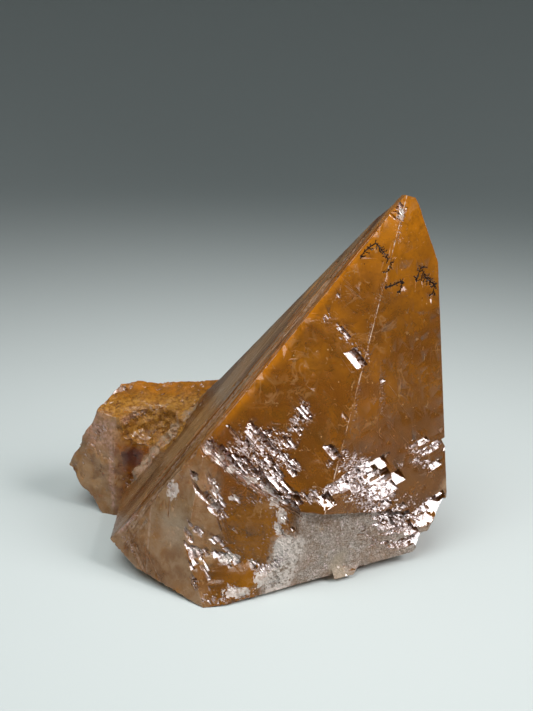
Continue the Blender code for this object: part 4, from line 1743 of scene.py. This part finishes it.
@dataclass(frozen=True)
class CalciteFinish:
    """Clear to cloudy amber calcite, with its frosted, pale, stained and crusted places."""

    brown: Colour = (0.365, 0.142, 0.011)
    deep: Colour = (0.20, 0.072, 0.009)
    umber: Colour = (0.11, 0.040, 0.012)
    tea: Colour = (0.15, 0.058, 0.010)
    orange: Colour = (0.70, 0.25, 0.007)
    gold: Colour = (0.66, 0.33, 0.05)
    beige: Colour = (0.50, 0.325, 0.18)
    frost: Colour = (0.88, 0.81, 0.74)
    soot: Colour = (0.20, 0.15, 0.10)
    strip: Colour = (0.42, 0.25, 0.11)
    rust_and_shade: Colour = (0.16, 0.036, 0.014)
    violet: Colour = (0.060, 0.024, 0.034)
    cream: Colour = (0.62, 0.52, 0.38)
    fern: Colour = (0.012, 0.009, 0.008)
    thread: Colour = (0.78, 0.50, 0.24)
    pink: Colour = (0.78, 0.48, 0.38)
    rub: Colour = (0.82, 0.62, 0.47)
    # Pale white of the painted glints and sparkle, and of crushed cleavage.
    flake_and_glint: Colour = (0.98, 0.85, 0.83)
    opal: Colour = (0.98, 0.88, 0.79)
    body_roughness: float = 0.17
    cleaved_roughness: float = 0.09
    frost_roughness: float = 0.5
    strip_roughness: float = 0.2
    crust_roughness: float = 0.75
    ior: float = 1.486
    coat_ior: float = 1.55
    specular_level: float = 0.25
    transmission: float = 0.5
    absorption: Colour = (0.93, 0.66, 0.08)
    absorption_density: float = 60.0

    def body_colour(self, sheet: Sheet) -> bpy.types.NodeSocket:
        """The clear stone's own colour, with its cloud, threads and specks, and a painted orange glow on the
        tip and along the strip's edge.

        Args:
            sheet: the material's sheet.

        Returns:
            The colour.
        """
        veils = Veils().place(sheet, Size=14.0, Thinness=0.035)
        broad = Mottle().place(sheet, Size=5.0, Softness=0.14).outputs[0]
        fine = Mottle().place(sheet, Size=0.9, Softness=0.2, Shift=31.0).outputs[0]
        cloud = sheet.range(veils.outputs["Cloud"], 0.24, 0.74)
        colour = sheet.mix(cloud, self.deep, self.brown)
        uneven = sheet.times(sheet.math("SUBTRACT", cloud, 0.5), 0.35)
        # Painted glow: orange is painted on the thin tip and along the strip's edge in the upper part.
        edge = sheet.share("rise", sheet.range(sheet.below(STRIP_FACE), 2.6, 0.2))
        painted_light = sheet.math("MAXIMUM", sheet.weight("painted_tip_glow"), sheet.times(edge, 0.85))
        colour = sheet.mix(sheet.math("ADD", painted_light, uneven), colour, self.orange)
        colour = sheet.mix(sheet.share("dusk", sheet.blend(broad, 0.75, 0.35)), colour, self.tea)
        dull = sheet.times(sheet.times(broad, fine), 0.5)
        colour = sheet.mix(dull, colour, self.tea)
        colour = sheet.mix(sheet.times(veils.outputs["Thread"], 0.22), colour, self.thread)
        specks = Specks().place(sheet, Spacing=1.5, Size=0.15, Share=0.45)
        colour = sheet.mix(sheet.times(specks.outputs["Bright"], 0.75), colour, self.thread)
        return sheet.mix(sheet.times(specks.outputs["Dark"], 0.6), colour, self.umber)

    def striped(self, sheet: Sheet, shared: Patterns) -> bpy.types.NodeSocket:
        """The strip face: dark and grey bands, pale streaks, a painted orange glow along its inner side and
        painted sparkle.

        Args:
            sheet: the material's sheet.
            shared: the shared patterns.

        Returns:
            The colour.
        """
        bands = GrowthLines().place(sheet, Spacing=6.0, Unevenness=0.55, Squeeze=0.08).outputs[0]
        streaks = GrowthLines().place(sheet, Spacing=2.0, Unevenness=0.65, Squeeze=0.05).outputs[0]
        painted_sparkle = GrowthLines().place(sheet, Spacing=1.5, Unevenness=0.7, Squeeze=0.22).outputs[0]
        dark = sheet.mix(shared.patches, self.umber, self.tea)
        colour = sheet.mix(sheet.range(bands, 0.4, 0.6), dark, self.strip)
        colour = sheet.mix(sheet.range(streaks, 0.48, 0.72, 0.0, 0.5), colour, self.thread)
        # Painted glow: orange along the strip's inner edge in the upper part.
        painted_edge_glow = sheet.share("rise", sheet.range(sheet.below(FRONT_LEFT_FACE), 10.5, 6.5))
        colour = sheet.mix(sheet.times(painted_edge_glow, 0.75), colour, self.orange)
        # Painted sparkle: short opal streaks stand in for glints.
        return sheet.mix(sheet.range(painted_sparkle, 0.63, 0.7), colour, self.opal)

    def freckled(self, sheet: Sheet, shared: Patterns) -> bpy.types.NodeSocket:
        """The small crystal's top: brown freckles among orange patches."""
        freckles = sheet.mix(sheet.blend(shared.fine, 0.5, 1.0), self.tea, self.brown)
        return sheet.mix(shared.patches, freckles, self.orange)

    def sandy(self, sheet: Sheet, shared: Patterns) -> bpy.types.NodeSocket:
        """The hollow and the ground round it: golden grains over brown earth, also used for the painted
        golden light along the top of the dark face.
        """
        earth = sheet.mix(sheet.blend(shared.patches, 0.45, 1.0), self.umber, self.brown)
        return sheet.mix(shared.fine, earth, self.gold)

    def salty(self, sheet: Sheet, shared: Patterns) -> bpy.types.NodeSocket:
        """The frosted breaks: white grains over soot, beige patches, and bright stars that are painted
        sparkle.

        Args:
            sheet: the material's sheet.
            shared: the shared patterns.

        Returns:
            The colour.
        """
        grain = Grain().place(sheet, Size=0.28)
        painted_stars = Specks().place(sheet, Spacing=0.9, Size=0.42, Share=0.6).outputs["Bright"]
        colour = sheet.mix(sheet.range(grain.outputs["Mask"], -0.1, 0.9), self.soot, self.frost)
        dirt = sheet.times(shared.fine, sheet.blend(shared.patches, 0.15, 0.75))
        colour = sheet.mix(dirt, colour, self.soot)
        colour = sheet.mix(sheet.times(shared.patches, 0.2), colour, self.beige)
        # Painted sparkle: bright stars in pale glint white.
        return sheet.mix(painted_stars, colour, self.flake_and_glint)

    def painted_crease_highlight(self, sheet: Sheet, shared: Patterns) -> bpy.types.NodeSocket:
        """How much of the broken pale line there is along the crease of the two front faces: a painted
        highlight.
        """
        depth = sheet.math("MAXIMUM", sheet.below(FRONT_LEFT_FACE), sheet.below(FRONT_RIGHT_FACE))
        return sheet.times(sheet.range(depth, 0.11, 0.04), sheet.range(shared.patches, 0.45, 0.75))

    def feathers_and_glints(self, sheet: Sheet) -> bpy.types.NodeSocket:
        """How much of the milky feathers and painted glints there is: bits that lie near the middle of any
        of them.

        Args:
            sheet: the material's sheet.

        Returns:
            The share.
        """
        nearest: object = 0.0
        for (across, deep, up), width, height in FEATHERS_AND_GLINTS:
            near = Nearness().place(sheet, Across=across, Deep=deep, Up=up, Width=width, Height=height)
            nearest = sheet.math("MAXIMUM", near.outputs[0], nearest)
        return Bits().place(sheet, Nearness=nearest).outputs[0]

    def colour(self, sheet: Sheet) -> bpy.types.NodeSocket:
        """Lay the coats of colour over each other, from the clear stone up.

        Args:
            sheet: the material's sheet.

        Returns:
            The base colour.
        """
        shared = Patterns.draw(sheet)
        patches, fine, crumbs = shared.patches, shared.fine, shared.crumbs
        bald = Mottle().place(sheet, Size=6.0, Softness=0.2, Shift=11.0).outputs[0]
        scratch = Scratches().place(sheet, Size=6.0, Share=0.42).outputs["Mask"]
        # Painted glints on crushed cleavage turned to the glint lamp, and painted shade on the cleaved faces
        # turned away.
        painted_glint = sheet.share("painted_glint", sheet.range(crumbs, 0.0, 0.65))
        painted_shade_gaps = sheet.times(sheet.math("SUBTRACT", sheet.weight("cleaved"), painted_glint), 0.75)
        coats = (
            (sheet.share("roof", 0.75), self.freckled(sheet, shared)),
            (sheet.share("strip", 0.9), self.striped(sheet, shared)),
            # Red-brown stain and painted shade on the small crystal's dark face.
            (sheet.share("rust_and_shade", 0.85), sheet.mix(patches, self.rust_and_shade, self.brown)),
            (sheet.share("bruise", 0.85), self.violet),
            # Painted golden light on the dark face's top, and the sandy ground round the hollow.
            (sheet.share("golden_light_and_sand", 0.9), self.sandy(sheet, shared)),
            (sheet.share("pale", sheet.blend(patches, 0.35, 0.95)), self.beige),
            (sheet.share("shade", sheet.blend(patches, 0.8, 0.4)), self.deep),
            # Painted highlight in cream on the middle of the pale facet.
            (sheet.share("facet_highlight", 0.45), self.cream),
            (sheet.share("frost", sheet.blend(bald, 0.6, 1.0)), self.salty(sheet, shared)),
            (sheet.share("snow", sheet.range(crumbs, 0.1, 0.6)), self.opal),
            (sheet.share("chunk", 0.8), self.cream),
            (sheet.share("crust", sheet.blend(fine, 0.95, 0.2)), sheet.mix(patches, self.beige, self.cream)),
            (sheet.share("worn", sheet.blend(fine, 0.05, 0.45)), self.rub),
            # Painted highlight along the crease of the two front faces.
            (self.painted_crease_highlight(sheet, shared), self.rub),
            # Pinkish crests: partly rubbed, partly painted highlight.
            (sheet.share("crest", sheet.blend(fine, 0.15, 0.9)), self.pink),
            (sheet.times(scratch, 0.34), self.thread),
            # Painted shade in umber, then painted glints in pale white, over the crushed, milky cleavage.
            (sheet.share("milk", painted_shade_gaps), self.umber),
            (sheet.share("milk", painted_glint), self.flake_and_glint),
            # Milky feathers, partly painted glints, in opal.
            (self.feathers_and_glints(sheet), self.opal),
            (sheet.weight("fern"), self.fern),
        )
        colour = self.body_colour(sheet)
        for share, coat in coats:
            colour = sheet.mix(share, colour, coat)
        return colour

    def gloss(self, sheet: Sheet) -> bpy.types.NodeSocket:
        """The mirror of fresh cleavage, broken up where the stone is crushed.

        Args:
            sheet: the material's sheet.

        Returns:
            How much of it there is.
        """
        crumbs = sheet.range(Grain().place(sheet, Size=0.75).outputs["Mask"], 0.0, 0.35)
        crushed = sheet.share("milk", sheet.math("SUBTRACT", 1.0, crumbs))
        return sheet.share("cleaved", sheet.math("SUBTRACT", 1.0, crushed))

    def roughness(self, sheet: Sheet) -> bpy.types.NodeSocket:
        """Glossy on cleavage, duller where frosted or crusted.

        Args:
            sheet: the material's sheet.

        Returns:
            The roughness.
        """
        uneven = sheet.noise(sheet.millimetres(), 0.22, 3.0)
        body = sheet.range(uneven, 0.3, 0.7, self.body_roughness * 0.7, self.body_roughness * 1.4)
        rough = sheet.blend(sheet.weight("cleaved"), body, self.cleaved_roughness)
        rough = sheet.blend(sheet.weight("frost"), rough, self.frost_roughness)
        rough = sheet.blend(sheet.weight("strip"), rough, self.strip_roughness)
        rough = sheet.blend(sheet.weight("pocket"), rough, 0.5)
        return sheet.blend(sheet.weight("crust"), rough, self.crust_roughness)

    def relief(self, sheet: Sheet) -> bpy.types.NodeSocket:
        """The finest relief, as a bent normal.

        Args:
            sheet: the material's sheet.

        Returns:
            The normal.
        """
        place = sheet.millimetres()
        grain = Grain().place(sheet, Size=0.6)
        lines = GrowthLines().place(sheet, Spacing=2.0, Unevenness=0.65, Squeeze=0.05)
        waves = sheet.noise(place, 0.16, 3.0, 0.5)
        pits = sheet.noise(place, 1.1, 4.0, 0.6)
        height = sheet.times(waves, 0.14)
        height = sheet.math("MULTIPLY_ADD", pits, 0.018, height)
        striped = sheet.share("strip", lines.outputs["Height"])
        height = sheet.math("MULTIPLY_ADD", striped, 0.28, height)
        broken = sheet.share("milk", grain.outputs["Height"])
        height = sheet.math("MULTIPLY_ADD", broken, 0.1, height)
        rough = sheet.math("MAXIMUM", sheet.weight("frost"), sheet.weight("crust"))
        rough = sheet.math("MAXIMUM", rough, sheet.share("roof", 0.35))
        rough = sheet.math("MAXIMUM", rough, sheet.weight("pocket"))
        sugary = sheet.times(grain.outputs["Height"], rough)
        height = sheet.math("MULTIPLY_ADD", sugary, 0.16, height)
        bump = sheet.node("ShaderNodeBump")
        bump.inputs["Strength"].default_value = 1.0
        bump.inputs["Distance"].default_value = METRES_PER_MM
        sheet.feed(bump.inputs["Height"], height)
        return bump.outputs["Normal"]

    def material(self) -> bpy.types.Material:
        """The finished material.

        Returns:
            The material.
        """
        made = bpy.data.materials.new("amber_calcite")
        made.use_nodes = True
        sheet = Sheet(made.node_tree)
        shader = made.node_tree.nodes["Principled BSDF"]
        sheet.feed(shader.inputs["Base Color"], self.colour(sheet))
        sheet.feed(shader.inputs["Roughness"], self.roughness(sheet))
        sheet.feed(shader.inputs["Normal"], self.relief(sheet))
        shader.inputs["Metallic"].default_value = 0.0
        shader.inputs["IOR"].default_value = self.ior
        shader.inputs["Specular IOR Level"].default_value = self.specular_level
        shader.inputs["Transmission Weight"].default_value = self.transmission
        sheet.feed(shader.inputs["Coat Weight"], self.gloss(sheet))
        shader.inputs["Coat IOR"].default_value = self.coat_ior
        shader.inputs["Coat Roughness"].default_value = self.cleaved_roughness
        inside = sheet.node("ShaderNodeVolumeAbsorption")
        inside.inputs["Color"].default_value = (*self.absorption, 1.0)
        inside.inputs["Density"].default_value = self.absorption_density
        sheet.feed(made.node_tree.nodes["Material Output"].inputs["Volume"], inside.outputs[0])
        return made


@dataclass(frozen=True)
class FloorFinish:
    """Plain pale matt card."""

    colour: Colour = (0.475, 0.53, 0.52)
    roughness: float = 0.85

    def material(self) -> bpy.types.Material:
        """The finished material.

        Returns:
            The material.
        """
        made = bpy.data.materials.new("pale_card")
        made.use_nodes = True
        shader = made.node_tree.nodes["Principled BSDF"]
        shader.inputs["Base Color"].default_value = (*self.colour, 1.0)
        shader.inputs["Roughness"].default_value = self.roughness
        return made


# ---------------------------------------------------------------- studio
@dataclass(frozen=True)
class Lamp:
    """A soft rectangular light that looks at the specimen."""

    name: str
    toward: Vector
    distance: float
    size: tuple[float, float]
    power: float
    spread: float
    colour: Colour = (1.0, 1.0, 1.0)

    def build(self, aim: Vector) -> bpy.types.Object:
        """Hang the light.

        Args:
            aim: the point that it looks at, in metres.

        Returns:
            The light's object.
        """
        data = bpy.data.lights.new(self.name, "AREA")
        data.shape = "RECTANGLE"
        data.size, data.size_y = self.size
        data.energy = self.power
        data.spread = math.radians(self.spread)
        data.color = self.colour
        lamp = bpy.data.objects.new(self.name, data)
        lamp.location = aim + self.toward.normalized() * self.distance
        lamp.rotation_euler = (-self.toward).to_track_quat("-Z", "Y").to_euler()
        bpy.context.scene.collection.objects.link(lamp)
        return lamp


@dataclass(frozen=True)
class Studio:
    """Floor, lights, surroundings and camera."""

    aim: Vector = Vector((0.005, 0.0, 0.04))
    half_width: float = 0.6
    near: float = -1.2
    bend_start: float = 0.75
    bend_radius: float = 0.5
    bend_steps: int = 12
    wall_top: float = 1.6
    sky: Colour = (0.94, 0.98, 1.0)
    sky_strength: tuple[float, float] = (0.05, 0.4)
    sky_rise: tuple[float, float] = (0.42, 0.85)
    camera_place: Vector = Vector((0.00556, -0.26583, 0.137))
    camera_pitch: float = 17.0
    camera_lens: float = 50.63
    camera_sensor: float = 36.0
    lamps: tuple[Lamp, ...] = (
        Lamp("overhead", Vector((-0.20, -0.42, 1.0)), 0.5, (0.42, 0.42), 0.64, 80.0),
        Lamp("glint", Vector((0.69, -0.36, 0.63)), 0.8, (0.36, 0.36), 0.9, 60.0, (1.0, 0.94, 0.95)),
    )

    def build_floor(self) -> bpy.types.Object:
        """Lay a sheet of card that bends up behind the specimen.

        Returns:
            The floor's object.
        """
        profile = [Vector((0.0, self.near, 0.0)), Vector((0.0, self.bend_start, 0.0))]
        for step in range(1, self.bend_steps + 1):
            turn = math.radians(90.0 * step / self.bend_steps)
            profile.append(Vector((0.0, self.bend_start + self.bend_radius * math.sin(turn),
                                   self.bend_radius * (1.0 - math.cos(turn)))))
        profile.append(Vector((0.0, self.bend_start + self.bend_radius, self.wall_top)))
        sideways = Vector((self.half_width, 0.0, 0.0))
        points = [point + sideways * side for point in profile for side in (-1.0, 1.0)]
        faces = [(2 * i, 2 * i + 1, 2 * i + 3, 2 * i + 2) for i in range(len(profile) - 1)]
        mesh = bpy.data.meshes.new("pale_floor")
        mesh.from_pydata(points, [], faces)
        mesh.shade_smooth()
        mesh.materials.append(FloorFinish().material())
        floor = bpy.data.objects.new("pale_floor", mesh)
        bpy.context.scene.collection.objects.link(floor)
        return floor

    def build_surroundings(self) -> None:
        """Put a bright soft ceiling over dark surroundings."""
        world = bpy.data.worlds.new("studio")
        bpy.context.scene.world = world
        world.use_nodes = True
        sheet = Sheet(world.node_tree)
        background = world.node_tree.nodes["Background"]
        background.inputs["Color"].default_value = (*self.sky, 1.0)
        rise = sheet.node("ShaderNodeSeparateXYZ")
        sheet.feed(rise.inputs[0], sheet.node("ShaderNodeTexCoord").outputs["Generated"])
        sheet.feed(background.inputs["Strength"],
                   sheet.range(rise.outputs[2], *self.sky_rise, *self.sky_strength))

    def build_camera(self) -> bpy.types.Object:
        """Stand the camera in front, looking a little down.

        Returns:
            The camera's object.
        """
        data = bpy.data.cameras.new("camera")
        data.lens = self.camera_lens
        data.sensor_width = self.camera_sensor
        data.sensor_fit = "AUTO"
        data.clip_start = 0.01
        camera = bpy.data.objects.new("camera", data)
        camera.location = self.camera_place
        camera.rotation_euler = (math.radians(90.0 - self.camera_pitch), 0.0, 0.0)
        bpy.context.scene.collection.objects.link(camera)
        bpy.context.scene.camera = camera
        return camera

    def build(self) -> None:
        """Set everything up."""
        self.build_camera()
        self.build_floor()
        for lamp in self.lamps:
            lamp.build(self.aim)
        self.build_surroundings()
        bpy.context.scene.view_settings.view_transform = "Standard"


def main() -> None:
    """Build the studio and the specimen, and report each."""
    logging.basicConfig(level=logging.INFO, format="%(message)s")
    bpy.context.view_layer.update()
    Studio().build()
    log.info("studio ready")
    piece = SpecimenMesh().build(frame["nodes"][NODE])
    piece.data.materials.append(CalciteFinish().material())
    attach(piece, BODY)
    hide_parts(NODE)
    log.info("%s ready", piece.name)


if __name__ == "__main__":
    main()
